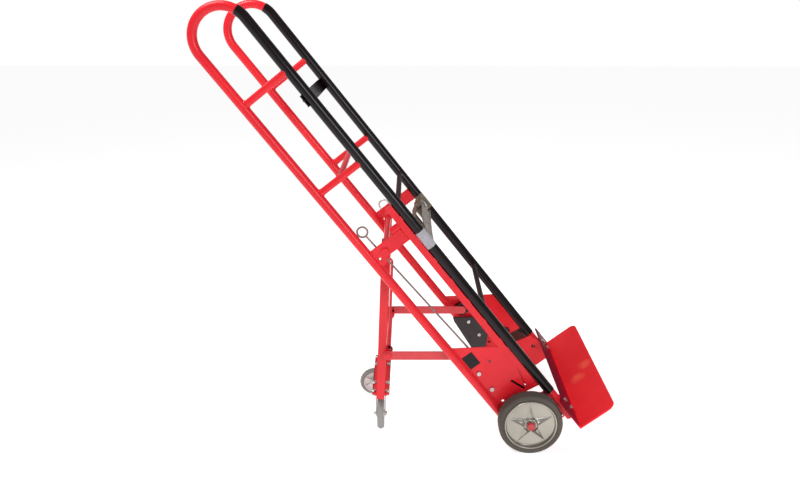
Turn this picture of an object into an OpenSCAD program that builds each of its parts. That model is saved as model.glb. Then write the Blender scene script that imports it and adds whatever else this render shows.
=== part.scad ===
// Appliance hand truck with two looped side frames, a toe plate, two main
// wheels and a folding rear caster carriage. Millimetres, +Z up.
// The truck stands on its four wheels, with its rails leaning back.
// The load side faces -Y, the handles and the casters are at +Y.
// Left is -X. Most pieces are drawn upright and then leaned about the axle.

/* [Frame] */
// Lean of the rails from vertical, in degrees
lean_a = 38.3; // [36:0.1:40]
// Distance between the centre planes of the two side frames
frame_w = 440; // [438:1:470]
// Distance from the rear tube to the front tube of one side frame
side_depth = 171; // [165:1:180]
// Distance of the rear tube behind the axle
rear_off = 66; // [62:1:70]
// Outside diameter of the frame tube
tube_d = 28.6; // [26:0.1:30]
// Wall of the frame tube
tube_wall = 2.4; // [1.5:0.1:4]
// Height of the handle loops above the axle, along the rails
loop_top = 1586; // [1500:1:1650]
// Lower end of the rear tubes above the axle
rear_end = 52; // [45:1:60]

/* [Struts] */
// Outside diameter of the struts
strut_d = 22; // [16:0.5:25]
// Height of the upper struts above the axle
upper_strut_h = 1316; // [1290:1:1340]
// Height of the middle struts above the axle
middle_strut_h = 981; // [960:1:1000]
// Outside diameter of the red cross tube between the middle struts
cross_tube_d = 19; // [12:0.5:20]
// Height of the carriage pivot above the axle
pivot_h = 720; // [715:1:725]
// Distance of the carriage pivot behind the axle
pivot_off = 17; // [12:1:20]
// Height of the pivot plates along the rails
pivot_plate_h = 60; // [54:1:68]
// Height of the pivot plates along the rails from the shaft forward
pivot_neck_h = 44; // [42:1:50]
// Length of the stub of tube on the left pivot plate
pivot_stub_l = 30; // [20:1:40]
// Distance from the pivot shaft up to the upper edge of the pivot plates
pivot_plate_up = 28; // [26:1:32]
// Thickness of the pivot plates
pivot_plate_t = 8; // [5:0.5:10]
// Diameter of the carriage pivot shaft
pivot_shaft_d = 19; // [16:0.5:22]

/* [Side plates] */
// Thickness of the side plates
side_plate_t = 5; // [4:0.5:8]
// Height of the rear top corner of a side plate
plate_top_rear = 337; // [325:1:350]
// Height of the front top corner of a side plate
plate_top_front = 236; // [226:1:244]
// Height of the front bottom corner of a side plate
plate_low_front = 65; // [58:1:72]
// Diameter of the round holes in the side plates
plate_hole_d = 9; // [7:0.5:10]
// Length of the slanted slot in the side plates
plate_slot_l = 54; // [40:1:58]
// Width of the slanted slot in the side plates
plate_slot_w = 8; // [6:0.5:9]
// Reach of the side plates and toe brackets round the axle
axle_lug = 24; // [20:0.5:26]

/* [Guide bar] */
// Depth of the guide bar behind the front tube
bar_d = 21; // [16:0.5:24]
// Width of the guide bar
bar_w = 20; // [12:0.5:24]
// Height of the top of the guide bar
bar_top = 824; // [800:1:850]

/* [Rail sleeves] */
// Outside diameter of the rail sleeves
sleeve_d = 32; // [31.5:0.1:38]
// Lower end of the lower sleeves
sleeve_low = 27; // [20:1:40]
// Distance of the lower sleeves' tops below the strap's middle
sleeve_gap_low = 31; // [28:1:40]
// Distance of the upper sleeves' bottoms above the strap's middle
sleeve_gap_high = 31; // [28:1:40]
// Part of the bend that the upper sleeves cover, in degrees
sleeve_arc = 22; // [5:1:60]

/* [Back bars] */
// Height of the flat back strap
strap_bar_h = 1219; // [1200:1:1240]
// Width of the flat back strap
strap_bar_w = 40; // [25:1:60]
// Thickness of the flat back strap
strap_bar_t = 4; // [3:0.5:6]
// Height of the middle back bar
mid_bar_h = 812; // [790:1:840]
// Height of the lower back bar
low_bar_h = 378; // [350:1:400]
// Diameter of the round back bars
back_bar_d = 17; // [12:0.5:20]

/* [Toe plate] */
// Width of the toe plate
toe_w = 613; // [590:1:640]
// Reach of the toe plate in front of the rails
toe_reach = 132; // [100:1:200]
// Thickness of the toe plate
toe_t = 6; // [4:0.5:8]
// Height of the heel of the toe plate
heel_h = 76; // [66:1:84]
// Radius of the outer corners of the toe plate
toe_r = 26; // [5:1:50]
// Clearance from the floor to the toe plate with the truck upright
toe_clear = 7; // [4:0.5:9]
// Diameter of the toe plate bolts
toe_bolt_d = 8; // [6:0.5:10]

/* [Main wheels] */
// Diameter of the main wheels
wheel_d = 203.2; // [196:0.1:205]
// Width of the tyres
tyre_w = 43; // [36:0.5:46]
// Height of the tyre section
tyre_h = 17.5; // [14:0.5:30]
// Gap between a tyre and the frame tube beside it
wheel_gap = 12.5; // [11:0.5:18]
// Diameter of the axle
axle_d = 16; // [14:0.5:18]
// Diameter of the red axle caps
cap_d = 26; // [22:0.5:32]
// Number of ribs of the wheel star
rib_n = 5; // [4:1:8]

/* [Caster carriage] */
// Distance between the outer faces of the two legs
leg_span = 338; // [330:1:350]
// Width of a leg across the truck
leg_t = 28; // [20:0.5:30]
// Depth of a leg along the truck
leg_w = 26; // [24:0.5:38]
// Wall of a leg
leg_wall = 2.5; // [1.5:0.1:4]
// Distance of the legs' feet behind the axle
foot_off = 480; // [474:1:490]
// Height of the caster beam's underside
beam_h = 124; // [123.5:0.5:128]
// Depth of the caster beam
beam_w = 58; // [56:1:64]
// Thickness of the caster beam
beam_t = 6; // [4:0.5:8]
// Distance of the brace shaft behind the axle
brace_off = 453; // [448:1:456]
// Height of the brace shaft above the floor
brace_h = 292; // [285:1:300]
// Diameter of the brace shaft
brace_shaft_d = 16; // [12:0.5:18]
// Length of the carriage pull rod
pull_rod_l = 255; // [200:1:270]
// Diameter of the carriage pull rod
pull_rod_d = 9; // [6:0.5:10]

/* [Braces] */
// Distance between the outer faces of the two braces
brace_span = 381; // [380:0.5:382]
// Thickness of a brace
brace_t = 6; // [4:0.5:7]
// Height of a brace
brace_w = 28; // [24:0.5:30]
// Height of the brace's front pin above the axle, along the rails
pin_h = 269; // [266:1:271]
// Distance of the brace's front pin behind the axle
pin_off = 31; // [29:0.5:33]
// Diameter of the brace's front pin
pin_d = 12; // [9:0.5:13]
// Room round the front pin in its saddle
pin_room = 5.5; // [5.5:0.1:6.5]

/* [Casters] */
// Diameter of the caster wheels
caster_d = 101.6; // [95:0.1:102]
// Width of the caster treads
caster_w = 22; // [18:0.5:26]
// Distance between the two swivel axes
caster_span = 197; // [190:1:198]
// Trail of the casters
trail = 33; // [28:0.5:35]
// Swivel angle of the left caster from straight back
swivel_l = 90; // [60:1:120]
// Swivel angle of the right caster from straight back
swivel_r = 6; // [-30:1:30]
// Bolt spacing of the caster plates across the truck
bolt_x = 58; // [54:0.5:60]
// Bolt spacing of the caster plates along the truck
bolt_y = 45; // [42:0.5:45.5]
// Diameter of the caster bolts
bolt_d = 8; // [6:0.5:8.5]

/* [Stair glides] */
// Height of the top corner of a stair glide
glide_top = 261; // [255:1:265]
// Height of the lowest corner of a stair glide
glide_low = 90; // [86:1:96]
// Distance of the rear edge of a stair glide behind the axle
glide_rear = 98; // [92:1:102]
// Distance of the front edge of a stair glide before the axle
glide_front = 4; // [2:0.5:8]
// Distance that the left stair glide sits further forward
glide_set = 20; // [16:1:24]
// Thickness of the stair glides
glide_t = 6; // [4:0.5:7]
// Diameter of the glide bolts
glide_bolt_d = 8; // [6:0.5:10]

/* [Lock rod] */
// Diameter of the lock rod
rod_d = 6; // [4:0.5:6.5]
// Length of the lock rod from the carriage pivot's height up to the ring
rod_l = 72.5; // [60:0.5:90]
// Outside diameter of the finger ring on the lock rod
ring_d = 38; // [34:1:39]
// Reach of the foot at the lower end of the lock rod
foot_l = 20; // [19:0.5:22]

/* [Strap and ratchet] */
// Height of the strap's middle above the axle
strap_h = 677; // [674:1:680]
// Width of the strap
strap_w = 50; // [38:1:54]
// Thickness of the strap
strap_t = 3; // [2:0.5:4]
// Place of the ratchet spool to the right of the middle
spool_x = 90; // [60:1:110]
// Length of the ratchet's cheeks
cheek_l = 92; // [80:1:100]
// Thickness of the ratchet's cheeks
cheek_t = 2.5; // [2:0.5:4]
// Diameter of the strap wound on the spool
roll_d = 34; // [26:0.5:38]
// Length of the ratchet handle
handle_l = 120; // [100:1:130]

/* [Fits] */
// Radial clearance of shafts that turn
run_fit = 0.05; // [0.02:0.01:0.1]
// Gap between welded or bolted pieces
seat_gap = 0.1; // [0.05:0.01:0.2]
// Clearance between pieces that pass each other
pass_gap = 0.5; // [0.3:0.1:1]

/* [Hidden] */
$fn = 64;
eps = 0.01;
over = 1;
wheel_r = wheel_d / 2;
tube_r = tube_d / 2;
strut_r = strut_d / 2;
half_w = frame_w / 2;
rear_y = rear_off;
front_y = rear_off - side_depth;
loop_r = side_depth / 2;
loop_y = rear_off - loop_r;
loop_z = loop_top - loop_r;
low_sleeve_top = strap_h - sleeve_gap_low;
up_sleeve_low = strap_h + sleeve_gap_high;
rear_face = rear_y - tube_r - seat_gap;
front_face = front_y + tube_r + seat_gap;
toe_top = -wheel_r + toe_clear + toe_t;
heel_y = front_y - tube_r;
plate_x = half_w - side_plate_t / 2;
sleeve_r = sleeve_d / 2;
sleeve_bore = tube_r + seat_gap;
bar_front = front_y + sleeve_r + pass_gap / 2;
bar_rear = bar_front + bar_d;
pivot_top = pivot_h + pivot_plate_up;
pivot_low = pivot_top - pivot_plate_h;
bracket_x = half_w - tube_r - seat_gap;
bracket_t = side_plate_t;
wheel_in = half_w + tube_r + wheel_gap;
wheel_out = wheel_in + tyre_w;
hub_r = wheel_r - tyre_h;
hub_w = tyre_w + 1;
axle_r = axle_d / 2;
axle_end = wheel_out + 9;
star_out = 5;
paint_red = [0.86, 0.1, 0.12];
paint_black = [0.08, 0.07, 0.07];
steel = [0.68, 0.68, 0.66];
rubber = [0.25, 0.24, 0.23];
webbing = [0.42, 0.36, 0.3];

// Distance behind the axle, on the floor, of a point given upright
function back_of(y, z) = y * cos(lean_a) + z * sin(lean_a);
// The axle's place, so that the origin is at the middle of the truck's length
rear_most = back_of(loop_y, loop_z) + loop_r + tube_r;
front_most = back_of(heel_y - toe_reach, toe_top - toe_t);
axle_y = -(rear_most + front_most) / 2;
// World place of a point given upright, y to the rear and z along the rails
function world_y(y, z) = back_of(y, z) + axle_y;
function world_z(y, z) = -y * sin(lean_a) + z * cos(lean_a) + wheel_r;
foot_y = axle_y + foot_off;
brace_y = axle_y + brace_off;

pivot_y = world_y(pivot_off, pivot_h);
pivot_z = world_z(pivot_off, pivot_h);
leg_out = leg_span / 2;
leg_in = leg_out - leg_t;
beam_top = beam_h + beam_t;
leg_tilt = atan2(foot_y - pivot_y, pivot_z - beam_h);
leg_len = norm([foot_y - pivot_y, pivot_z - beam_h]);
leg_top = leg_w / 2 + 4;
brace_leg_y = pivot_y + (pivot_z - brace_h) * tan(leg_tilt);
boss_r = brace_shaft_d / 2 + 5;
brace_out = brace_span / 2;
brace_in = brace_out - brace_t;
pin_y = world_y(pin_off, pin_h);
pin_z = world_z(pin_off, pin_h);
brace_len = norm([brace_y - pin_y, brace_h - pin_z]);
brace_slope = atan2(brace_h - pin_z, brace_y - pin_y);
brace_end_r = brace_w / 2;
caster_r = caster_d / 2;
caster_x = caster_span / 2;
fork_t = 3;
plate_t = beam_t * 2 / 3;
fork_in = caster_w / 2 + 2;
fork_top = beam_h - plate_t - 8;
race_r = caster_d * 0.2165;
fork_end_r = caster_d * 0.118;
fork_w = beam_w * 0.517;
kingpin_r = 5;
caster_bolt_r = 4;
spacer_r = pivot_shaft_d / 2 + 2;
rod_r = rod_d / 2;
rod_x = half_w - tube_r - pass_gap - 3.8;
rod_foot_y = pin_off - 18.5;
rod_foot_z = pin_h - brace_w / 2 - 6;
rod_foot_t = 5;
rod_lean = atan2(pivot_off + spacer_r + rod_r + 1.9 - rod_foot_y, pivot_h - rod_foot_z);
rod_len = (pivot_h - rod_foot_z) / cos(rod_lean) + rod_l;
strap_low = strap_h - strap_w / 2;
wrap_low = low_sleeve_top + pass_gap;
wrap_h = up_sleeve_low - low_sleeve_top - 2 * pass_gap;
cheek_gap = strap_w / 2 + 1.5;
spool_y = front_y + 5;
spool_r = 7;

// Lean the truck back about its axle, with the wheels on the floor
module lean() {
    translate([0, axle_y, wheel_r]) rotate([-lean_a, 0, 0]) children();
}

// Extrude a side view along X, its first coordinate to the rear
module slab(x, t) {
    translate([x, 0, 0]) rotate([90, 0, 90]) linear_extrude(t) children();
}

// Cylinder along X from x, at a point of the side view
module x_rod(x, len, r, y, z) {
    translate([x, y, z]) rotate([0, 90, 0]) cylinder(r = r, h = len);
}

// Cylinder along Y from y
module y_rod(x, y, z, len, r) {
    translate([x, y, z]) rotate([-90, 0, 0]) cylinder(r = r, h = len);
}

// One bent tube of radius r: rear leg, half circle at the top, front leg
module loop_body(r, low) {
    translate([0, rear_y, rear_end - low]) cylinder(r = r, h = loop_z - rear_end + low);
    translate([0, front_y, toe_top + seat_gap - low]) cylinder(r = r, h = loop_z - toe_top - seat_gap + low);
    translate([0, loop_y, loop_z]) rotate([90, 0, 90]) rotate_extrude(angle = 180) translate([loop_r, 0]) circle(r = r);
}

// Holes of the toe bolts and back strap bolts in the front tube
module front_tube_holes() {
    for (z = toe_bolt_zs) y_rod(0, front_y - tube_r - over, z, tube_d + 2 * over, toe_bolt_d / 2 + seat_gap);
    y_rod(0, front_y - tube_r - over, strap_bar_h, tube_d + 2 * over, strap_bolt_r + seat_gap);
}

toe_bolt_zs = [toe_top + heel_h * 0.3, toe_top + heel_h * 0.75];
strap_bolt_r = 3;

module frame_tube(side) {
    color(paint_red) lean() translate([side * half_w, 0, 0]) difference() {
        loop_body(tube_r, 0);
        loop_body(tube_r - tube_wall, over);
        front_tube_holes();
    }
}
module left_frame_tube() { frame_tube(-1); }
module right_frame_tube() { frame_tube(1); }

// A strut from the rear tube to the front tube, coped to both
module strut(side, z) {
    difference() {
        y_rod(side * half_w, front_y, z, side_depth, strut_r);
        for (y = [rear_y, front_y]) translate([side * half_w, y, z - strut_d]) cylinder(r = tube_r + seat_gap, h = 2 * strut_d);
    }
}
module upper_struts() {
    color(paint_red) lean() for (side = [-1, 1]) strut(side, upper_strut_h);
}
module middle_struts() {
    color(paint_red) lean() for (side = [-1, 1]) strut(side, middle_strut_h);
}
module middle_cross_tube() {
    color(paint_red) lean() difference() {
        x_rod(-half_w, frame_w, cross_tube_d / 2, -pivot_off, middle_strut_h);
        x_rod(-half_w - over, frame_w + 2 * over, cross_tube_d / 2 - tube_wall, -pivot_off, middle_strut_h);
        for (side = [-1, 1]) y_rod(side * half_w, front_y, middle_strut_h, side_depth, strut_r + seat_gap);
    }
}

// Plate that joins the two tubes and carries the carriage pivot
module rod_at() {
    translate([-rod_x, rod_foot_y, rod_foot_z]) rotate([-rod_lean, 0, 0]) children();
}
module rod_bore() {
    rod_at() cylinder(r = rod_r + run_fit, h = rod_len);
}
module pivot_plate(side) {
    color(paint_red) lean() difference() {
        slab(side * half_w - pivot_plate_t / 2, pivot_plate_t) difference() {
            plate_front = side > 0 ? front_y + sleeve_r + pass_gap : bar_rear + seat_gap;
            polygon([[rear_face, pivot_low], [rear_face, pivot_top], [plate_front, pivot_top],
                [plate_front, pivot_top - pivot_neck_h], [pivot_off + 4, pivot_top - pivot_neck_h], [rear_face - 16, pivot_low]]);
            translate([rear_face - 9, pivot_low + 22]) circle(r = 5);
        }
        x_rod(side * half_w - pivot_plate_t, 2 * pivot_plate_t, pivot_shaft_d / 2 + seat_gap / 2, pivot_off, pivot_h);
    }
}
// The left plate has a guide tab for the lock rod on its inner face
module left_pivot_plate() {
    tab_z = pivot_top - 13;
    tab_y = rod_foot_y + (tab_z - rod_foot_z) * tan(rod_lean);
    pivot_plate(-1);
    color(paint_red) lean() difference() {
        translate([-half_w + pivot_plate_t / 2 - eps, tab_y - 8, tab_z]) cube([half_w - pivot_plate_t / 2 - rod_x + 5.5, 16, 5]);
        rod_bore();
    }
}
module right_pivot_plate() { pivot_plate(1); }

// Short stub of tube on the left pivot plate, behind the guide bar
module pivot_strut() {
    color(paint_red) lean() y_rod(-half_w, bar_rear + seat_gap, pivot_top + seat_gap + strut_r, pivot_stub_l, strut_r);
}

shaft_half = half_w + pivot_plate_t / 2 + 5;
module pivot_shaft() {
    color(steel) lean() {
        x_rod(-shaft_half, 2 * shaft_half, pivot_shaft_d / 2, pivot_off, pivot_h);
        for (x = [-shaft_half, shaft_half - 4]) x_rod(x, 4, pivot_shaft_d / 2 + 2.5, pivot_off, pivot_h);
    }
}
module pivot_spacers() {
    color(paint_red) lean() for (side = [-1, 1]) difference() {
        spacer_x = leg_out + pass_gap;
        spacer_l = half_w - pivot_plate_t / 2 - seat_gap - spacer_x;
        x0 = side > 0 ? spacer_x : -spacer_x - spacer_l;
        x_rod(x0, spacer_l, spacer_r, pivot_off, pivot_h);
        x_rod(x0 - over, spacer_l + 2 * over, pivot_shaft_d / 2 + run_fit, pivot_off, pivot_h);
    }
}

// Straight bar behind the left front tube, from the side plate to above the pivot plate
bar_low = plate_line(bar_front) + 0.5;
module guide_bar(side) {
    color(paint_red) lean() slab(side * half_w - bar_w / 2, bar_w) polygon([
        [bar_front, bar_low], [bar_rear, plate_line(bar_rear) + 0.5], [bar_rear, bar_top], [bar_front, bar_top]]);
}
module left_guide_bar() { guide_bar(-1); }

// Height of the side plate's top edge at a place y
function plate_line(y) = plate_top_front + (plate_top_rear - plate_top_front) * (y - front_face) / (rear_face - front_face);

window_low = pin_h - 26;
window_high = pin_h + 22;
window_rear = pin_off + 17.5;
window_front = pin_off - 20;
module window_shape(grow) {
    translate([window_front - grow, window_low - grow])
        square([window_rear - window_front + 2 * grow, window_high - window_low + 2 * grow]);
}
function glide_bolts_at(side) = side > 0
    ? [[glide_rear * 0.435, glide_top * 0.8065], [glide_rear * 0.44, glide_low * 1.604]]
    : [[glide_rear * 0.375, glide_top * 0.8276], [glide_rear * 0.37, glide_low * 1.622]];
plate_holes_at = [[-rear_off * 0.242, plate_top_front * 0.966], [rear_off * 0.515, plate_low_front * 1.385],
    [front_y * 0.514, plate_low_front * 1.431]];
axle_hole_r = axle_r + seat_gap / 2;

module side_plate(side) {
    color(paint_red) lean() difference() {
        slab(side * half_w - side_plate_t / 2, side_plate_t) difference() {
            polygon([
                [rear_face, plate_top_rear], [front_face, plate_top_front], [front_face, plate_low_front],
                [front_y * 0.514, plate_low_front * 1.08], [front_y * 0.324, plate_low_front * 1.14],
                [-axle_lug * 0.96, 0], [-axle_lug * 0.7, -axle_lug * 0.7], [0, -axle_lug], [axle_lug * 0.7, -axle_lug * 0.7],
                [rear_face, rear_end]]);
            window_shape(seat_gap);
            for (p = plate_holes_at) translate(p) circle(r = plate_hole_d / 2);
            for (p = glide_bolts_at(side)) translate(p) circle(r = glide_bolt_d / 2 + seat_gap);
            translate([front_y * 0.36, plate_low_front * 1.66]) rotate(71) translate([-plate_slot_l / 2, -plate_slot_w / 2])
                square([plate_slot_l, plate_slot_w]);
        }
        x_rod(side * half_w - side_plate_t, 2 * side_plate_t, axle_hole_r, 0, 0);
    }
}
module left_side_plate() { side_plate(-1); }
module right_side_plate() { side_plate(1); }

// Things that pass through a sleeve: struts, bars, plates and bolts
module sleeve_cuts(side) {
    for (z = [upper_strut_h, middle_strut_h]) y_rod(0, front_y, z, loop_r, strut_r + pass_gap);
    slab(-side_plate_t / 2 - pass_gap, side_plate_t + 2 * pass_gap)
        translate([front_y + tube_r - over, plate_low_front - 2]) square([tube_r, plate_top_front - plate_low_front + 12]);
    for (z = [mid_bar_h, low_bar_h]) x_rod(side > 0 ? -frame_w : 0, frame_w, back_bar_d / 2 + pass_gap, front_y, z);
    y_rod(0, front_y, strap_bar_h, loop_r, strap_bolt_r + pass_gap);
}
module upper_sleeve(side) {
    color(paint_black) lean() translate([side * half_w, 0, 0]) difference() {
        union() {
            translate([0, front_y, up_sleeve_low]) cylinder(r = sleeve_r, h = loop_z - up_sleeve_low);
            translate([0, loop_y, loop_z]) rotate([90, 0, 90]) rotate([0, 0, 180 - sleeve_arc])
                rotate_extrude(angle = sleeve_arc) translate([loop_r, 0]) circle(r = sleeve_r);
        }
        translate([0, front_y, up_sleeve_low - over]) cylinder(r = sleeve_bore, h = loop_z - up_sleeve_low + over + eps);
        translate([0, loop_y, loop_z]) rotate([90, 0, 90]) rotate([0, 0, 180 - sleeve_arc - over])
            rotate_extrude(angle = sleeve_arc + over) translate([loop_r, 0]) circle(r = sleeve_bore);
        sleeve_cuts(side);
    }
}
module lower_sleeve(side) {
    color(paint_black) lean() translate([side * half_w, 0, 0]) difference() {
        translate([0, front_y, sleeve_low]) cylinder(r = sleeve_r, h = low_sleeve_top - sleeve_low);
        translate([0, front_y, sleeve_low - over]) cylinder(r = sleeve_bore, h = low_sleeve_top - sleeve_low + 2 * over);
        sleeve_cuts(side);
    }
}
module left_upper_sleeve() { upper_sleeve(-1); }
module left_lower_sleeve() { lower_sleeve(-1); }
module right_upper_sleeve() { upper_sleeve(1); }
module right_lower_sleeve() { lower_sleeve(1); }

// Flat strap behind the front tubes, bolted through both
strap_y = front_y + sleeve_r + seat_gap;
strap_half = half_w + sleeve_r - 3;
module back_strap() {
    color(paint_black) lean() difference() {
        translate([-strap_half, strap_y, strap_bar_h - strap_bar_w / 2]) cube([2 * strap_half, strap_bar_t, strap_bar_w]);
        for (side = [-1, 1]) y_rod(side * half_w, strap_y - over, strap_bar_h, strap_bar_t + 2 * over, strap_bolt_r + seat_gap);
    }
}
module back_strap_bolts() {
    bolt_from = front_y - tube_r + pass_gap;
    color(steel) lean() for (side = [-1, 1]) {
        y_rod(side * half_w, bolt_from, strap_bar_h, strap_y + strap_bar_t - bolt_from + eps, strap_bolt_r);
        y_rod(side * half_w, strap_y + strap_bar_t, strap_bar_h, 3, strap_bolt_r + 2.5);
    }
}
module back_bars() {
    color(paint_black) lean() for (z = [mid_bar_h, low_bar_h]) difference() {
        x_rod(-half_w, frame_w, back_bar_d / 2, front_y, z);
        for (side = [-1, 1]) translate([side * half_w, front_y, z - back_bar_d]) cylinder(r = tube_r + seat_gap, h = 2 * back_bar_d);
    }
}

// Toe plate with its upright heel, in front of the rails
module toe_plate() {
    color(paint_red) lean() difference() {
        union() {
            translate([0, 0, toe_top - toe_t]) linear_extrude(toe_t) difference() {
                translate([-toe_w / 2, heel_y - toe_reach]) square([toe_w, toe_reach]);
                for (side = [-1, 1]) translate([side * toe_w / 2, heel_y - toe_reach]) difference() {
                    square(2 * toe_r, center = true);
                    translate([-side * toe_r, toe_r]) circle(r = toe_r);
                }
            }
            translate([-toe_w / 2, heel_y - toe_t, toe_top - toe_t]) cube([toe_w, toe_t, heel_h + toe_t]);
        }
        for (side = [-1, 1], z = toe_bolt_zs) y_rod(side * half_w, heel_y - toe_t - over, z, toe_t + 2 * over, toe_bolt_d / 2 + seat_gap);
    }
}
module toe_bolts() {
    shank = toe_t + tube_d + 2;
    color(steel) lean() for (side = [-1, 1], z = toe_bolt_zs) {
        y_rod(side * half_w, heel_y - toe_t - seat_gap, z, shank, toe_bolt_d / 2);
        y_rod(side * half_w, heel_y - toe_t - seat_gap - 4, z, 4, toe_bolt_d * 0.8);
        y_rod(side * half_w, heel_y + tube_d + seat_gap, z, 5, toe_bolt_d * 0.8);
    }
}
// Bracket inside each frame tube, from the axle to the heel of the toe plate
module toe_brackets() {
    color(paint_red) lean() for (side = [-1, 1]) difference() {
        slab(side > 0 ? bracket_x - bracket_t : -bracket_x, bracket_t) polygon([
            [heel_y + seat_gap, toe_top + seat_gap], [heel_y + seat_gap, toe_top + heel_h * 0.92],
            [front_y, sleeve_low * 0.85 - pass_gap], [front_y + sleeve_r, sleeve_low - pass_gap],
            [-axle_lug * 0.83, axle_lug * 1.8], [axle_lug * 0.75, axle_lug * 1.25], [axle_lug, 0],
            [axle_lug * 0.6, -axle_lug * 0.83], [-axle_lug * 1.25, toe_top * 0.86], [-axle_lug * 1.7, toe_top + seat_gap]]);
        x_rod(side > 0 ? 0 : -half_w, half_w, axle_r * 0.9, front_y + sleeve_r, toe_top + heel_h * 0.92);
        x_rod(side > 0 ? bracket_x - 2 * bracket_t : -bracket_x - bracket_t, 3 * bracket_t, axle_hole_r, 0, 0);
    }
}

module axle() {
    color(steel) lean() x_rod(-axle_end, 2 * axle_end, axle_r, 0, 0);
}
// Spacer tubes on the axle, beside the plates and behind the wheels
module axle_spacers() {
    color(steel) lean() for (side = [-1, 1]) {
        gap_in = [bracket_x + seat_gap, half_w - side_plate_t / 2 - seat_gap];
        gap_out = [half_w + side_plate_t / 2 + seat_gap, wheel_in - pass_gap - 0.5];
        for (g = [gap_in, gap_out]) difference() {
            x_rod(side > 0 ? g[0] : -g[1], g[1] - g[0], axle_r + 5, 0, 0);
            x_rod(side > 0 ? g[0] - over : -g[1] - over, g[1] - g[0] + 2 * over, axle_hole_r, 0, 0);
        }
    }
}
module axle_cap(side) {
    cap_x = wheel_out + 1;
    color(paint_red) lean() difference() {
        x_rod(side > 0 ? cap_x : -cap_x - 11, 11, cap_d / 2, 0, 0);
        x_rod(side > 0 ? cap_x - over : -axle_end - seat_gap, axle_end + seat_gap - cap_x + over, axle_hole_r, 0, 0);
    }
}
module left_axle_cap() { axle_cap(-1); }
module right_axle_cap() { axle_cap(1); }

// Stair glide inside each side frame
glide_x = half_w - tube_r - pass_gap;
module stair_glide(side) {
    color(paint_black) lean() difference() {
        slab(side > 0 ? glide_x - glide_t : -glide_x, glide_t) translate([side > 0 ? 0 : -glide_set, 0]) polygon([
            [glide_rear * 0.8, glide_top], [-glide_front * 0.6, glide_top * 0.765], [-glide_front, glide_top * 0.5625],
            [glide_rear * 0.529, glide_low], [glide_rear * 0.92, glide_low * 1.15], [glide_rear, glide_low * 1.331],
            [glide_rear * 0.86, glide_top * 0.94]]);
        for (p = glide_bolts_at(side)) x_rod(side > 0 ? 0 : -frame_w, frame_w, glide_bolt_d / 2 + seat_gap, p[0], p[1]);
    }
}
module left_stair_glide() { stair_glide(-1); }
module right_stair_glide() { stair_glide(1); }
module glide_bolts() {
    head_t = 4;
    x_in = glide_x - glide_t;
    x_out = half_w + side_plate_t / 2;
    color(steel) lean() for (side = [-1, 1], p = glide_bolts_at(side)) {
        x_rod(side > 0 ? x_in - eps : -x_out - eps, x_out - x_in + 2 * eps, glide_bolt_d / 2, p[0], p[1]);
        x_rod(side > 0 ? x_in - 2.5 : -x_in, 2.5, glide_bolt_d * 0.8, p[0], p[1]);
        x_rod(side > 0 ? x_out : -x_out - head_t, head_t, glide_bolt_d * 0.8, p[0], p[1]);
        x_rod(side > 0 ? glide_x + seat_gap : -plate_x + seat_gap, plate_x - glide_x - 2 * seat_gap, glide_bolt_d, p[0], p[1]);
    }
}

// Black saddle in the window of each side plate, open downward for the brace's pin
saddle_in = brace_out + 2 * pass_gap;
saddle_split = glide_x + pass_gap;
module saddle(side) {
    slot = pin_d + 2 * pin_room;
    inner_l = half_w + side_plate_t / 2 - saddle_in;
    color(paint_black) lean() difference() {
        union() {
            slab(side > 0 ? saddle_split : -half_w - side_plate_t / 2 - 1, half_w + side_plate_t / 2 + 1 - saddle_split) window_shape(0);
            slab(side > 0 ? saddle_in : -saddle_in - inner_l, inner_l)
                translate([window_front, pin_h - 4]) square([window_rear - window_front, window_high - pin_h + 4]);
        }
        slab(side > 0 ? saddle_in - over : -saddle_split, saddle_split - saddle_in + over) {
            translate([pin_off, pin_h]) circle(r = slot / 2);
            translate([pin_off - slot / 2, window_low - over]) square([slot, pin_h - window_low + over]);
        }
    }
}
// The left saddle also guides the lower end of the lock rod
module left_saddle() {
    guide_y = rod_foot_y - 8.5;
    difference() {
        union() {
            saddle(-1);
            color(paint_black) lean() slab(-saddle_split, saddle_split - saddle_in) translate([guide_y, pin_h - 4])
                square([window_front - guide_y + eps, window_high - pin_h + 4]);
        }
        lean() rod_bore();
    }
}
module right_saddle() { saddle(1); }

// Wire loop on the right pivot plate
module hook_loop() {
    hook_r = 17;
    wire_r = 3;
    hook_z = pivot_top + seat_gap;
    color(steel) lean() translate([half_w, pivot_off - 4, hook_z]) {
        rotate([90, 0, 90]) translate([0, 6]) rotate_extrude(angle = 180) translate([hook_r, 0]) circle(r = wire_r);
        for (y = [-hook_r, hook_r]) translate([0, y, 0]) cylinder(r = wire_r, h = 6 + eps);
    }
}

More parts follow.
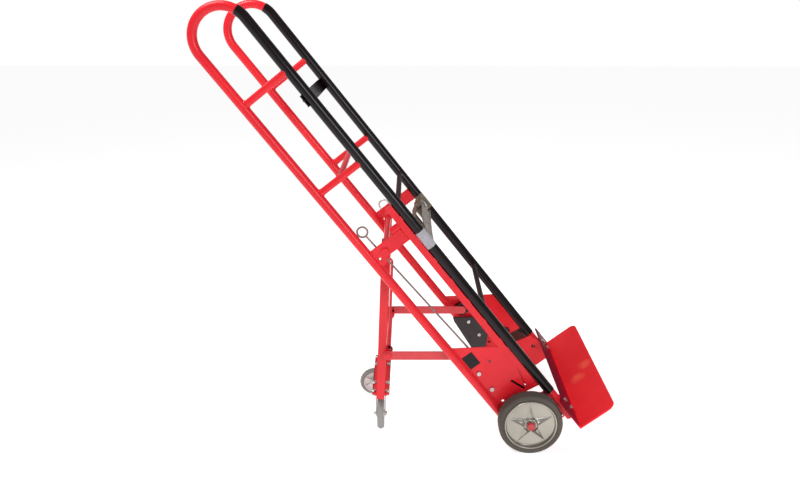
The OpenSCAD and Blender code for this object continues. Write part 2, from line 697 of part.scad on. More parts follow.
// Strap with a loop round the front tube, one on each side of the ratchet
cheek_x = spool_x - 18;
anchor_x = cheek_x + cheek_l - 8;
anchor_r = 4;
module strap_wrap(side) {
    translate([side * half_w, front_y, wrap_low]) difference() {
        cylinder(r = sleeve_r - seat_gap, h = wrap_h);
        translate([0, 0, -over]) cylinder(r = tube_r + seat_gap, h = wrap_h + 2 * over);
    }
}
module strap_left() {
    color(webbing) lean() difference() {
        union() {
            strap_wrap(-1);
            translate([-half_w, spool_y - roll_d / 2, strap_low]) cube([half_w + spool_x, strap_t, strap_w]);
        }
        translate([spool_x, spool_y, strap_low - over]) cylinder(r = roll_d / 2 + 0.3, h = strap_w + 2 * over);
        translate([-half_w, front_y, strap_low - over]) cylinder(r = tube_r + seat_gap, h = strap_w + 2 * over);
    }
}
module strap_right() {
    color(webbing) lean() difference() {
        union() {
            strap_wrap(1);
            translate([anchor_x, spool_y - strap_t / 2, strap_low]) cube([half_w - anchor_x, strap_t, strap_w]);
            translate([anchor_x, spool_y, strap_low]) cylinder(r = anchor_r + strap_t, h = strap_w);
        }
        translate([anchor_x, spool_y, strap_low - over]) cylinder(r = anchor_r + seat_gap, h = strap_w + 2 * over);
        translate([half_w, front_y, strap_low - over]) cylinder(r = tube_r + seat_gap, h = strap_w + 2 * over);
    }
}
// Two cheeks joined by the anchor pin and a tie bar
module ratchet_frame() {
    color(steel) lean() difference() {
        union() {
            for (z = [strap_h - cheek_gap - cheek_t, strap_h + cheek_gap]) translate([cheek_x, spool_y - 14, z])
                cube([cheek_l, 28, cheek_t]);
            translate([anchor_x, spool_y, strap_h - cheek_gap - eps]) cylinder(r = anchor_r, h = 2 * cheek_gap + 2 * eps);
            translate([anchor_x - 24, spool_y + 11, strap_h - cheek_gap - eps]) cube([22, 3, 2 * cheek_gap + 2 * eps]);
        }
        translate([spool_x, spool_y, strap_h - cheek_gap - 2 * cheek_t]) cylinder(r = spool_r + run_fit, h = 2 * cheek_gap + 4 * cheek_t);
    }
}
handle_z = strap_h - cheek_gap - 2 * cheek_t - pass_gap;
module ratchet_handle() {
    arm_w = 16;
    color(steel) lean() difference() {
        union() {
            for (z = [handle_z, strap_h + cheek_gap + cheek_t + pass_gap]) {
                translate([spool_x - handle_l, spool_y - arm_w / 2 + 12, z]) cube([handle_l, arm_w, cheek_t]);
                translate([spool_x, spool_y, z]) cylinder(r = 14, h = cheek_t);
            }
            translate([spool_x - handle_l + 8, spool_y + 12, handle_z + eps]) cylinder(r = 6, h = 2 * (strap_h - handle_z) - 2 * eps);
        }
        translate([spool_x, spool_y, handle_z - over]) cylinder(r = spool_r + run_fit, h = 2 * (strap_h - handle_z) + 2 * over);
    }
}
module ratchet_spool() {
    color(webbing) lean() {
        translate([spool_x, spool_y, handle_z - 3]) cylinder(r = spool_r, h = 2 * (strap_h - handle_z) + 6);
        translate([spool_x, spool_y, strap_low]) cylinder(r = roll_d / 2, h = strap_w);
    }
}

// Main wheel: rubber tyre on a dished metal hub with a star of ribs
module wheel_at(side) {
    lean() translate([side * wheel_in, 0, 0]) rotate([0, side * 90, 0]) children();
}
module tyre() {
    edge = 5;
    color(rubber) rotate_extrude($fn = 96) difference() {
        translate([hub_r + seat_gap / 2, 0]) square([tyre_h - seat_gap / 2, tyre_w]);
        for (z = [0, tyre_w]) translate([wheel_r, z]) rotate(45) square(edge * 1.4, center = true);
    }
}
module hub() {
    rim_t = 4;
    web_z = tyre_w - star_out - 8;
    color(steel) difference() {
        union() {
            rotate_extrude($fn = 96) {
                translate([hub_r - rim_t, 1]) square([rim_t - seat_gap / 2, tyre_w - 2]);
                translate([10, web_z]) square([hub_r - 12, 5]);
                translate([axle_r + run_fit, -0.5]) square([11, hub_w]);
            }
            for (i = [0 : rib_n - 1]) rotate(i * 360 / rib_n + 90) translate([axle_r + 6, -4, web_z + 4]) cube([hub_r - axle_r - 9, 8, 7]);
        }
        translate([0, 0, -over]) cylinder(r = axle_r + run_fit, h = hub_w + 2 * over);
    }
}
module left_tyre() { wheel_at(-1) tyre(); }
module right_tyre() { wheel_at(1) tyre(); }
module left_hub() { wheel_at(-1) hub(); }
module right_hub() { wheel_at(1) hub(); }

// Place things from the carriage pivot, with -Z along the legs
module carriage() {
    translate([0, pivot_y, pivot_z]) rotate([leg_tilt, 0, 0]) children();
}
module leg(side) {
    x0 = side > 0 ? leg_in : -leg_out;
    color(paint_red) difference() {
        union() {
            carriage() difference() {
                translate([x0, -leg_w / 2, -leg_len - leg_w]) cube([leg_t, leg_w, leg_len + leg_w + leg_top]);
                translate([x0 + leg_wall, -leg_w / 2 + leg_wall, -leg_len - leg_w - over])
                    cube([leg_t - 2 * leg_wall, leg_w - 2 * leg_wall, leg_len + leg_w + over - pivot_shaft_d]);
            }
            x_rod(x0, leg_t, boss_r, brace_y, brace_h);
            slab(x0 + 1, leg_t - 2) translate([brace_y, brace_h - boss_r * 0.9]) square([brace_leg_y - brace_y, boss_r * 1.8]);
        }
        translate([x0 - over, foot_y - leg_w * 2, beam_h - 3 * leg_w]) cube([leg_t + 2 * over, leg_w * 4, 3 * leg_w]);
        x_rod(x0 - over, leg_t + 2 * over, pivot_shaft_d / 2 + run_fit, pivot_y, pivot_z);
        x_rod(x0 - over, leg_t + 2 * over, brace_shaft_d / 2 + seat_gap / 2, brace_y, brace_h);
    }
}
module left_leg() { leg(-1); }
module right_leg() { leg(1); }

// Flat beam between the feet of the legs, for the two casters
beam_half = leg_in - seat_gap;
module caster_beam() {
    color(paint_red) difference() {
        translate([-beam_half, foot_y - beam_w / 2, beam_h]) cube([2 * beam_half, beam_w, beam_t]);
        for (p = caster_bolt_points) translate([p[0], p[1], beam_h - over]) cylinder(r = bolt_d / 2 + seat_gap, h = beam_t + 2 * over);
    }
}
caster_bolt_points = [for (sx = [-1, 1], dx = [-1, 1], dy = [-1, 1])
    [sx * caster_x + dx * bolt_x / 2, foot_y + dy * bolt_y / 2]];
module brace_shaft() {
    shaft_len = 2 * (brace_out + 6);
    color(paint_red) x_rod(-shaft_len / 2, shaft_len, brace_shaft_d / 2, brace_y, brace_h);
}
// Thin rod with a curled top, standing on the brace shaft
module pull_rod() {
    curl_r = 9;
    r = pull_rod_d / 2;
    color(paint_red) translate([0, brace_y, brace_h]) rotate([leg_tilt, 0, 0]) difference() {
        union() {
            cylinder(r = r, h = pull_rod_l);
            translate([0, curl_r, pull_rod_l]) rotate([90, 0, 90]) rotate_extrude(angle = 210) translate([curl_r, 0]) circle(r = r * 0.8);
        }
        rotate([-leg_tilt, 0, 0]) x_rod(-2 * pull_rod_d, 4 * pull_rod_d, brace_shaft_d / 2 + seat_gap, 0, 0);
    }
}

// Top plates of the casters with the upper race and the kingpin
module caster_plates() {
    color(steel) for (side = [-1, 1]) translate([side * caster_x, foot_y, 0]) {
        difference() {
            translate([-bolt_x / 2 - bolt_d - 1, -beam_w / 2 + 1, beam_h - plate_t])
                cube([bolt_x + 2 * bolt_d + 2, beam_w - 2, plate_t]);
            for (dx = [-1, 1], dy = [-1, 1]) translate([dx * bolt_x / 2, dy * bolt_y / 2, beam_h - plate_t - over])
                cylinder(r = bolt_d / 2 + seat_gap, h = plate_t + 2 * over);
        }
        translate([0, 0, fork_top + pass_gap]) cylinder(r = race_r, h = beam_h - plate_t - fork_top - pass_gap + eps);
        translate([0, 0, fork_top - fork_t - 5]) cylinder(r = kingpin_r, h = fork_t + 6 + pass_gap);
        translate([0, 0, fork_top - fork_t - 7]) cylinder(r = kingpin_r + 3, h = 2.5 + 3.5);
    }
}
module caster_bolts() {
    color(steel) for (p = caster_bolt_points) translate([p[0], p[1], 0]) {
        translate([0, 0, beam_h - plate_t - 5]) cylinder(r = bolt_d / 2, h = beam_t + plate_t + 5 + eps);
        translate([0, 0, beam_top]) cylinder(r = bolt_d * 0.78, h = 4.5);
        translate([0, 0, beam_h - plate_t - 5]) cylinder(r = bolt_d * 0.75, h = 5);
    }
}

// Flat braces from the legs to the saddles, with a pin at each front end
module brace_shape() {
    translate([0, -brace_w / 2]) square([brace_len, brace_w]);
    circle(r = brace_end_r);
    translate([brace_len, 0]) circle(r = brace_end_r);
}
module braces() {
    color(paint_red) for (side = [-1, 1]) {
        difference() {
            slab(side > 0 ? brace_in : -brace_out, brace_t) translate([pin_y, pin_z]) rotate(brace_slope) brace_shape();
            x_rod(side > 0 ? brace_in - over : -brace_out - over, brace_t + 2 * over, brace_shaft_d / 2 + run_fit, brace_y, brace_h);
        }
        x_rod(side > 0 ? brace_out - eps : -pin_tip, pin_tip - brace_out + eps, pin_d / 2, pin_y, pin_z);
    }
}
pin_tip = glide_x - glide_t - 2 * pass_gap;
module brace_nuts() {
    nut_x = brace_out + pass_gap;
    color(steel) for (side = [-1, 1]) difference() {
        x_rod(side > 0 ? nut_x : -nut_x - 5, 5, brace_shaft_d / 2 + 3.5, brace_y, brace_h);
        x_rod(side > 0 ? nut_x - over : -nut_x - 5 - over, 5 + 2 * over, brace_shaft_d / 2 + seat_gap / 2, brace_y, brace_h);
    }
}

// Lock rod with a finger ring on top, a collar on the saddle and a foot below it
module control_rod() {
    ring_r = (ring_d - rod_d) / 2;
    foot_w = 7;
    collar_z = (window_high - rod_foot_z) / cos(rod_lean) + pass_gap;
    color(steel) lean() rod_at() {
        cylinder(r = rod_r, h = rod_len);
        translate([-foot_w / 2, -foot_l, 0]) cube([foot_w, foot_l, rod_foot_t]);
        translate([0, 0, collar_z]) cylinder(r = rod_r + 2, h = 4);
        translate([0, 0, rod_len + ring_r - rod_r / 2]) rotate([0, 90, 0]) rotate_extrude()
            translate([ring_r, 0]) circle(r = rod_r);
    }
}

// Casters: fork, tread, core and axle bolt, turned about the kingpin
module caster_at(side, swivel) {
    translate([side * caster_x, foot_y, 0]) rotate(swivel) children();
}
module fork() {
    difference() {
        union() {
            translate([0, 0, fork_top - fork_t]) cylinder(r = race_r, h = fork_t);
            translate([-fork_in - fork_t, -fork_w * 0.4, fork_top - fork_t]) cube([2 * (fork_in + fork_t), fork_w, fork_t]);
            for (x = [-fork_in - fork_t, fork_in]) slab(x, fork_t) difference() {
                union() {
                    polygon([[-fork_w * 0.4, fork_top], [fork_w * 0.6, fork_top], [trail + fork_end_r, caster_r],
                        [trail - fork_end_r, caster_r * 0.92], [-fork_w * 0.4, fork_top - fork_w * 0.4]]);
                    translate([trail, caster_r]) circle(r = fork_end_r);
                }
                translate([trail, caster_r]) circle(r = caster_bolt_r + seat_gap / 2);
            }
        }
        translate([0, 0, fork_top - fork_t - over]) cylinder(r = kingpin_r + run_fit, h = fork_t + 2 * over);
    }
}
module caster_wheel_at(side, swivel) {
    caster_at(side, swivel) translate([0, trail, caster_r]) rotate([0, 90, 0]) children();
}
core_r = caster_r - 13;
module tread() {
    rotate_extrude($fn = 96) difference() {
        translate([core_r + seat_gap / 2, -caster_w / 2]) square([caster_r - core_r - seat_gap / 2, caster_w]);
        for (z = [-1, 1]) translate([caster_r, z * caster_w / 2]) rotate(45) square(5, center = true);
    }
}
module core() {
    rotate_extrude($fn = 96) {
        translate([core_r - 4, -caster_w / 2 + 1]) square([4 - seat_gap / 2, caster_w - 2]);
        translate([11, -2]) square([core_r - 13, 4]);
        translate([caster_bolt_r + run_fit, -fork_in + pass_gap]) square([8, 2 * fork_in - 2 * pass_gap]);
    }
}
module caster_axle() {
    half = fork_in + fork_t + seat_gap;
    translate([0, 0, -half - 4]) cylinder(r = caster_bolt_r, h = 2 * half + 8);
    for (z = [-half - 5, half]) translate([0, 0, z]) cylinder(r = 7, h = 5);
}
module left_caster_fork() { color(steel) caster_at(-1, swivel_l) fork(); }
module left_caster_tread() { color(rubber) caster_wheel_at(-1, swivel_l) tread(); }
module left_caster_core() { color(steel) caster_wheel_at(-1, swivel_l) core(); }
module left_caster_axle() { color(steel) caster_wheel_at(-1, swivel_l) caster_axle(); }
module right_caster_fork() { color(steel) caster_at(1, swivel_r) fork(); }
module right_caster_tread() { color(rubber) caster_wheel_at(1, swivel_r) tread(); }
module right_caster_core() { color(steel) caster_wheel_at(1, swivel_r) core(); }
module right_caster_axle() { color(steel) caster_wheel_at(1, swivel_r) caster_axle(); }

left_frame_tube();
right_frame_tube();
upper_struts();
middle_struts();
middle_cross_tube();
left_pivot_plate();
right_pivot_plate();
pivot_strut();
pivot_shaft();
pivot_spacers();
left_guide_bar();
left_side_plate();
right_side_plate();
left_upper_sleeve();
left_lower_sleeve();
right_upper_sleeve();
right_lower_sleeve();
back_strap();
back_strap_bolts();
back_bars();
toe_plate();
toe_bolts();
toe_brackets();
axle();
axle_spacers();
left_axle_cap();
right_axle_cap();
left_stair_glide();
right_stair_glide();
glide_bolts();
left_saddle();
right_saddle();
hook_loop();
strap_left();
strap_right();
ratchet_frame();
ratchet_handle();
ratchet_spool();
left_tyre();
left_hub();
right_tyre();
right_hub();
left_leg();
right_leg();
caster_beam();
brace_shaft();
pull_rod();
caster_plates();
caster_bolts();
braces();
brace_nuts();
control_rod();
left_caster_fork();
left_caster_tread();
left_caster_core();
left_caster_axle();
right_caster_fork();
right_caster_tread();
right_caster_core();
right_caster_axle();
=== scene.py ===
import math
import bmesh
import bpy
from mathutils import Matrix, Vector


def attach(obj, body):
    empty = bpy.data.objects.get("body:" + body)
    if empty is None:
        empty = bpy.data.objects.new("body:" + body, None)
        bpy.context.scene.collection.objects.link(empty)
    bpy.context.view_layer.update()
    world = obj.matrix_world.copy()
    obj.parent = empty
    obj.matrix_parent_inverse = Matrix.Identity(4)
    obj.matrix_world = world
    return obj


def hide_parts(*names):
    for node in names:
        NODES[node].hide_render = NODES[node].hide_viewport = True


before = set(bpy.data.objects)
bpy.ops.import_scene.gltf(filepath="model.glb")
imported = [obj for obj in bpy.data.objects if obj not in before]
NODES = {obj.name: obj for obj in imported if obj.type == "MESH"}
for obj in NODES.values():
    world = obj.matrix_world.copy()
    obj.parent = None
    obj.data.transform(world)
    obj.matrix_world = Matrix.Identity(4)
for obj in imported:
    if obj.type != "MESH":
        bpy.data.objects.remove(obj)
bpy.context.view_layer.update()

# ---- View and studio -------------------------------------------------------
# The truck was photographed from its left side, a little above the handles,
# as a cut-out on white. A white floor and soft lamps on three sides stand in.
EYE = Vector((-2.4265, 0.0084, 1.3988))
AIM = Vector((0.95813, 0.01154, -0.28580))
camera_data = bpy.data.cameras.new("view_from_left")
camera_data.sensor_width = 36
camera_data.lens = 34.41
camera_data.shift_y = -0.03125
camera_data.clip_start = 0.05
camera = bpy.data.objects.new("view_from_left", camera_data)
camera.location = EYE
camera.rotation_euler = AIM.to_track_quat("-Z", "Y").to_euler()
bpy.context.scene.collection.objects.link(camera)
bpy.context.scene.camera = camera
bpy.context.scene.view_settings.view_transform = "Standard"


def plain_material(name, color, roughness):
    material = bpy.data.materials.new(name)
    material.use_nodes = True
    shader = material.node_tree.nodes["Principled BSDF"]
    shader.inputs["Base Color"].default_value = (*color, 1)
    shader.inputs["Roughness"].default_value = roughness
    return material


floor_mesh = bpy.data.meshes.new("studio_floor")
FLOOR_HALF = 14
floor_mesh.from_pydata([(x, y, 0) for x, y in ((-1, -1), (1, -1), (1, 1), (-1, 1))], [], [(0, 1, 2, 3)])
for corner in floor_mesh.vertices:
    corner.co *= FLOOR_HALF
floor = bpy.data.objects.new("studio_floor", floor_mesh)
pale_floor = plain_material("pale_floor", (0.93, 0.93, 0.93), 0.9)
pale_floor.node_tree.nodes["Principled BSDF"].inputs["Emission Color"].default_value = (1, 1, 1, 1)
pale_floor.node_tree.nodes["Principled BSDF"].inputs["Emission Strength"].default_value = 0.64
floor_mesh.materials.append(pale_floor)
bpy.context.scene.collection.objects.link(floor)

world = bpy.data.worlds.new("white_studio")
world.use_nodes = True
backdrop = world.node_tree.nodes["Background"]
backdrop.inputs["Color"].default_value = (1, 1, 1, 1)
seen = world.node_tree.nodes.new("ShaderNodeLightPath")
level = world.node_tree.nodes.new("ShaderNodeMapRange")
level.inputs["To Min"].default_value = 0.34
level.inputs["To Max"].default_value = 1.0
world.node_tree.links.new(seen.outputs["Is Camera Ray"], level.inputs["Value"])
world.node_tree.links.new(level.outputs[0], backdrop.inputs["Strength"])
bpy.context.scene.world = world


def soft_lamp(name, place, target, size, power, along=(0, 0, 1), tint=(1, 1, 1)):
    """A soft box that looks at its target, with its second side along a direction."""
    lamp_data = bpy.data.lights.new(name, "AREA")
    lamp_data.shape = "RECTANGLE"
    lamp_data.size, lamp_data.size_y = size
    lamp_data.energy = power
    lamp_data.color = tint
    lamp = bpy.data.objects.new(name, lamp_data)
    back = (Vector(place) - Vector(target)).normalized()
    up = (Vector(along) - back * back.dot(Vector(along))).normalized()
    lamp.matrix_world = Matrix.Translation(place) @ Matrix((up.cross(back), up, back)).transposed().to_4x4()
    bpy.context.scene.collection.objects.link(lamp)


RAIL_WAY = (0, 0.62, 0.785)
soft_lamp("rail_panel", (-2.9, -1.6, 1.95), (0, 0.3, 1.05), (1.8, 1.4), 44, RAIL_WAY, (0.88, 0.94, 1.0))
soft_lamp("top_box", (-0.5, 1.3, 3.1), (0, -0.3, 0.4), (1.2, 1.2), 50, tint=(1.0, 0.97, 0.94))
soft_lamp("back_fill", (1.8, 1.2, 2.2), (0, 0, 0.6), (1.4, 1.0), 8)

# ---- Side frames -----------------------------------------------------------
# Each side is one bent steel tube with welded struts, plates and bars, sprayed
# in bright red enamel. The welds were ground little and stand proud.
LEAN = math.radians(38.3)
AXLE_AT = Vector((0, -0.379315, 0.1016))
RAILS = Matrix.Translation(AXLE_AT) @ Matrix.Rotation(-LEAN, 4, "X")
MM = 0.001
HALF_W, REAR_Y, FRONT_Y, TUBE_R, STRUT_R = 220, 66, -105, 14.3, 11
UPPER_STRUT, MIDDLE_STRUT = 1316, 981
BOTH = (-1, 1)


def rail_point(x, y, z):
    """A point given upright in millimetres: y behind the axle, z along the rails."""
    return RAILS @ (Vector((x, y, z)) * MM)


def rail_turn(x, y, z, axis):
    """A matrix at an upright point whose Z runs along an upright axis."""
    turn = Vector(axis).to_track_quat("Z", "Y").to_matrix().to_4x4()
    return RAILS @ Matrix.Translation(Vector((x, y, z)) * MM) @ turn


def new_group(name, inputs, outputs):
    group = bpy.data.node_groups.new(name, "ShaderNodeTree")
    for label, value in inputs.items():
        kind = "NodeSocketColor" if isinstance(value, tuple) else "NodeSocketFloat"
        group.interface.new_socket(label, in_out="INPUT", socket_type=kind).default_value = value
    for label in outputs:
        kind = "NodeSocketColor" if label == "Color" else "NodeSocketFloat"
        group.interface.new_socket(label, in_out="OUTPUT", socket_type=kind)
    return group, group.nodes.new("NodeGroupInput"), group.nodes.new("NodeGroupOutput")


def add_node(tree, kind, links=None, **settings):
    node = tree.nodes.new(kind)
    for label, value in settings.items():
        setattr(node, label, value)
    for label, value in (links or {}).items():
        if isinstance(value, bpy.types.NodeSocket):
            tree.links.new(value, node.inputs[label])
        else:
            node.inputs[label].default_value = value
    return node


def mix_color(tree, factor, first, second):
    return add_node(tree, "ShaderNodeMix", {0: factor, 6: first, 7: second}, data_type="RGBA").outputs[2]


def math_node(tree, operation, first, second=0.0):
    return add_node(tree, "ShaderNodeMath", {0: first, 1: second}, operation=operation).outputs[0]


# Scuffs and hairline scratches: a mask of short stretched streaks in patches
scuffs, scuffs_in, scuffs_out = new_group("handling_scuffs", {"Scale": 60.0, "Coverage": 0.5}, ("Mask",))
place = add_node(scuffs, "ShaderNodeTexCoord").outputs["Object"]
stretch = add_node(scuffs, "ShaderNodeMapping",
                   {"Vector": place, "Scale": (1.0, 0.35, 2.4), "Rotation": (0.6, 0.2, 0.3)})
streaks = add_node(scuffs, "ShaderNodeTexNoise",
                   {"Vector": stretch.outputs[0], "Scale": scuffs_in.outputs["Scale"],
                    "Detail": 6.0, "Roughness": 0.7})
patches = add_node(scuffs, "ShaderNodeTexNoise", {"Vector": place, "Scale": 7.0, "Detail": 3.0})
both = math_node(scuffs, "MULTIPLY", streaks.outputs["Fac"], patches.outputs["Fac"])
limit = math_node(scuffs, "SUBTRACT", 0.52, math_node(scuffs, "MULTIPLY", scuffs_in.outputs["Coverage"], 0.2))
edge = add_node(scuffs, "ShaderNodeMapRange", {"Value": both, "From Min": limit,
                                               "From Max": math_node(scuffs, "ADD", limit, 0.05)})
scuffs.links.new(edge.outputs[0], scuffs_out.inputs["Mask"])

# Uneven film: slow cloudy change for tone and gloss, with fine grain for the height
film, film_in, film_out = new_group("uneven_film", {"Cloud Scale": 5.0, "Grain Scale": 900.0},
                                    ("Cloud", "Grain"))
film_place = add_node(film, "ShaderNodeTexCoord").outputs["Object"]
cloud = add_node(film, "ShaderNodeTexNoise",
                 {"Vector": film_place, "Scale": film_in.outputs["Cloud Scale"], "Detail": 4.0})
grain = add_node(film, "ShaderNodeTexNoise",
                 {"Vector": film_place, "Scale": film_in.outputs["Grain Scale"], "Detail": 2.0})
film.links.new(cloud.outputs["Fac"], film_out.inputs["Cloud"])
film.links.new(grain.outputs["Fac"], film_out.inputs["Grain"])


def put_group(tree, group, **values):
    node = tree.nodes.new("ShaderNodeGroup")
    node.node_tree = group
    for label, value in values.items():
        node.inputs[label.replace("_", " ").title()].default_value = value
    return node


def coated(name, light, dark, worn, roughness, coat, coverage=0.45, grain_scale=700.0, bump=0.06,
           metallic=0.0, shine=0.5, extra=None):
    """A finish of two tones in clouds, with scuffs that show the worn tone."""
    material = bpy.data.materials.new(name)
    material.use_nodes = True
    tree = material.node_tree
    shader = tree.nodes["Principled BSDF"]
    skin = put_group(tree, film, cloud_scale=6.0, grain_scale=grain_scale)
    rub = put_group(tree, scuffs, scale=90.0, coverage=coverage)
    cloudy = add_node(tree, "ShaderNodeMapRange",
                      {"Value": skin.outputs["Cloud"], "From Min": 0.35, "From Max": 0.65})
    tone = mix_color(tree, cloudy.outputs[0], (*light, 1), (*dark, 1))
    tone = mix_color(tree, math_node(tree, "MULTIPLY", rub.outputs["Mask"], 0.55), tone, (*worn, 1))
    if extra:
        tone = extra(tree, tone)
    tree.links.new(tone, shader.inputs["Base Color"])
    gloss = math_node(tree, "ADD", math_node(tree, "MULTIPLY", cloudy.outputs[0], 0.1), roughness)
    gloss = math_node(tree, "ADD", gloss, math_node(tree, "MULTIPLY", rub.outputs["Mask"], 0.25))
    tree.links.new(gloss, shader.inputs["Roughness"])
    worn_away = math_node(tree, "MULTIPLY", rub.outputs["Mask"], 0.8)
    height = math_node(tree, "SUBTRACT", skin.outputs["Grain"], worn_away)
    relief = add_node(tree, "ShaderNodeBump", {"Height": height, "Strength": bump, "Distance": 0.0004})
    tree.links.new(relief.outputs[0], shader.inputs["Normal"])
    shader.inputs["Metallic"].default_value = metallic
    shader.inputs["Specular IOR Level"].default_value = shine
    shader.inputs["Coat Weight"].default_value = coat
    shader.inputs["Coat Roughness"].default_value = 0.12
    return material


red_enamel = coated("red_enamel", (0.80, 0.016, 0.026), (0.70, 0.010, 0.020), (0.85, 0.13, 0.12),
                    0.28, 0.14, bump=0.008, shine=0.25)


def finish_node(names, material, bevel=0.0):
    """Gives CAD nodes their finish, and rolled edges where they are plate."""
    for name in names:
        obj = NODES[name]
        obj.data.materials.clear()
        obj.data.materials.append(material)
        if bevel:
            weld = obj.modifiers.new("joined", "WELD")
            weld.merge_threshold = 0.00002
            round_edge = obj.modifiers.new("rolled_edge", "BEVEL")
            round_edge.width = bevel * MM
            round_edge.segments = 2
            round_edge.limit_method = "ANGLE"
            round_edge.angle_limit = math.radians(40)
            round_edge.use_clamp_overlap = True
            round_edge.harden_normals = True


def make_piece(name, mesh_maker, body, material, replaces=(), angle=35):
    mesh = bpy.data.meshes.new(name)
    mesh_maker.normal_update()
    mesh_maker.to_mesh(mesh)
    mesh_maker.free()
    mesh.materials.append(material)
    mesh.polygons.foreach_set("use_smooth", [True] * len(mesh.polygons))
    mesh.set_sharp_from_angle(angle=math.radians(angle))
    obj = bpy.data.objects.new(name, mesh)
    bpy.context.scene.collection.objects.link(obj)
    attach(obj, body)
    if replaces:
        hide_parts(*replaces)
    return obj


def sweep(maker, points, radius_at, sides=10, closed=False):
    """A round bar along points in metres. radius_at(i) is in millimetres."""
    count = len(points)
    rings = []
    side = None
    for i, point in enumerate(points):
        ahead = points[(i + 1) % count] if closed or i < count - 1 else point
        behind = points[i - 1] if closed or i else point
        along = (ahead - behind).normalized()
        if side is None:
            side = along.orthogonal().normalized()
        side = (side - along * side.dot(along)).normalized()
        up = along.cross(side)
        radius = radius_at(i) * MM
        turn = [2 * math.pi * k / sides for k in range(sides)]
        ways = [side * math.cos(a) + up * math.sin(a) for a in turn]
        rings.append([maker.verts.new(point + way * radius) for way in ways])
    spans = count if closed else count - 1
    for i in range(spans):
        low, high = rings[i], rings[(i + 1) % count]
        shift = 0
        if closed and i == spans - 1:
            shift = min(range(sides), key=lambda s: (low[0].co - high[s].co).length)
        for k in range(sides):
            m = (k + 1) % sides
            maker.faces.new((low[k], low[m], high[(m + shift) % sides], high[(k + shift) % sides]))
    if not closed:
        maker.faces.new(list(reversed(rings[0])))
        maker.faces.new(rings[-1])


BEAD_R = 2.6


def weld_bead(maker, points, closed=False, size=BEAD_R):
    """A rippled fillet weld along a line of points."""
    def ripple(i):
        return size * (1 + 0.16 * math.sin(i * 1.9) + 0.06 * math.sin(i * 0.63))

    sweep(maker, points, ripple, 8, closed)


def fine_line(start, end, step=2.6):
    count = max(2, int((Vector(end) - Vector(start)).length / step))
    return [rail_point(*Vector(start).lerp(Vector(end), i / count)) for i in range(count + 1)]


def coped_ring(side, z, tube_y, direction, count=44):
    """Points round a strut where it meets a tube."""
    ring = []
    for i in range(count):
        a = 2 * math.pi * i / count
        u, v = STRUT_R * math.cos(a), STRUT_R * math.sin(a)
        depth = math.sqrt(max(TUBE_R ** 2 - u * u, 0)) + 0.4
        ring.append(rail_point(side * HALF_W + u, tube_y + direction * depth, z + v))
    return ring


CROSS_R, CROSS_Y = 9.5, -17
REAR_SEAM_Y = REAR_Y - TUBE_R + 0.3
FRONT_SEAM_Y = FRONT_Y + TUBE_R - 0.3
welds = bmesh.new()
for side in BOTH:
    for strut_z in (UPPER_STRUT, MIDDLE_STRUT):
        weld_bead(welds, coped_ring(side, strut_z, REAR_Y, -1), True)
        weld_bead(welds, coped_ring(side, strut_z, FRONT_Y, 1), True)
    # cross tube on the middle strut
    ring = []
    for i in range(40):
        a = 2 * math.pi * i / 40
        u, v = CROSS_R * math.cos(a), CROSS_R * math.sin(a)
        depth = math.sqrt(STRUT_R ** 2 - v * v) + 0.4
        ring.append(rail_point(side * (HALF_W - depth), CROSS_Y + u, MIDDLE_STRUT + v))
    weld_bead(welds, ring, True)
    # pivot plate and side plate on both faces: half thickness, the ends of the
    # rear seam, and the place and ends of the front seam
    pivot_front = -88.6 if side > 0 else -65.6
    seams = ((4, 690, 746, pivot_front, 706, 746), (2.5, 70, 334, FRONT_SEAM_Y, 68, 234))
    for half, low_rear, high_rear, front_at, low_front, high_front in seams:
        for face in BOTH:
            x = side * HALF_W + face * (half + 0.6)
            weld_bead(welds, fine_line((x, REAR_SEAM_Y, low_rear), (x, REAR_SEAM_Y, high_rear)))
            weld_bead(welds, fine_line((x, front_at, low_front), (x, front_at, high_front)))
# the guide bar on the left front tube, in short stitches, and the stub on the pivot plate
for stitch in range(7):
    for face in BOTH:
        z, x = 262 + stitch * 84, face * 8.6 - HALF_W
        weld_bead(welds, fine_line((x, -88.9, z), (x, -88.9, z + 16)), size=1.9)
for face in BOTH:
    x = face * 5.4 - HALF_W
    weld_bead(welds, fine_line((x, -65, 748.8), (x, -39, 748.8)), size=1.8)
make_piece("frame_welds", welds, "chassis", red_enamel)
finish_node(("left_frame_tube", "right_frame_tube", "upper_struts", "middle_struts",
             "middle_cross_tube", "pivot_strut", "pivot_spacers", "pivot_shaft"), red_enamel)
finish_node(("left_pivot_plate", "right_pivot_plate", "left_guide_bar", "left_side_plate",
             "right_side_plate", "toe_brackets"), red_enamel, 0.7)

# ---- Black rail sleeves and back bars --------------------------------------
# Shiny black sleeves cover the front tubes where the load slides. The flat back
# strap is dipped in the same black; the round bars are a duller brown-black.
black_gloss = coated("black_gloss", (0.004, 0.0015, 0.002), (0.008, 0.003, 0.004),
                     (0.035, 0.02, 0.02), 0.15, 0.12, 0.4, bump=0.008, shine=0.2)
brown_bar = coated("brown_bar", (0.030, 0.009, 0.010), (0.020, 0.006, 0.007), (0.10, 0.05, 0.045),
                   0.5, 0.0, 0.45, shine=0.15)
finish_node(("left_upper_sleeve", "left_lower_sleeve", "right_upper_sleeve", "right_lower_sleeve"),
            black_gloss)
finish_node(("back_bars",), brown_bar)
finish_node(("back_strap",), black_gloss, 0.8)
finish_node(("left_saddle", "right_saddle"), black_gloss, 0.8)


def plate_outline(maker, matrix, outline, low, high):
    """A flat plate of the outline (x, y) in millimetres between two heights."""
    bottom = [maker.verts.new(matrix @ (Vector((x, y, low)) * MM)) for x, y in outline]
    top = [maker.verts.new(matrix @ (Vector((x, y, high)) * MM)) for x, y in outline]
    maker.faces.new(list(reversed(bottom)))
    maker.faces.new(top)
    for k in range(len(outline)):
        m = (k + 1) % len(outline)
        maker.faces.new((bottom[k], bottom[m], top[m], top[k]))


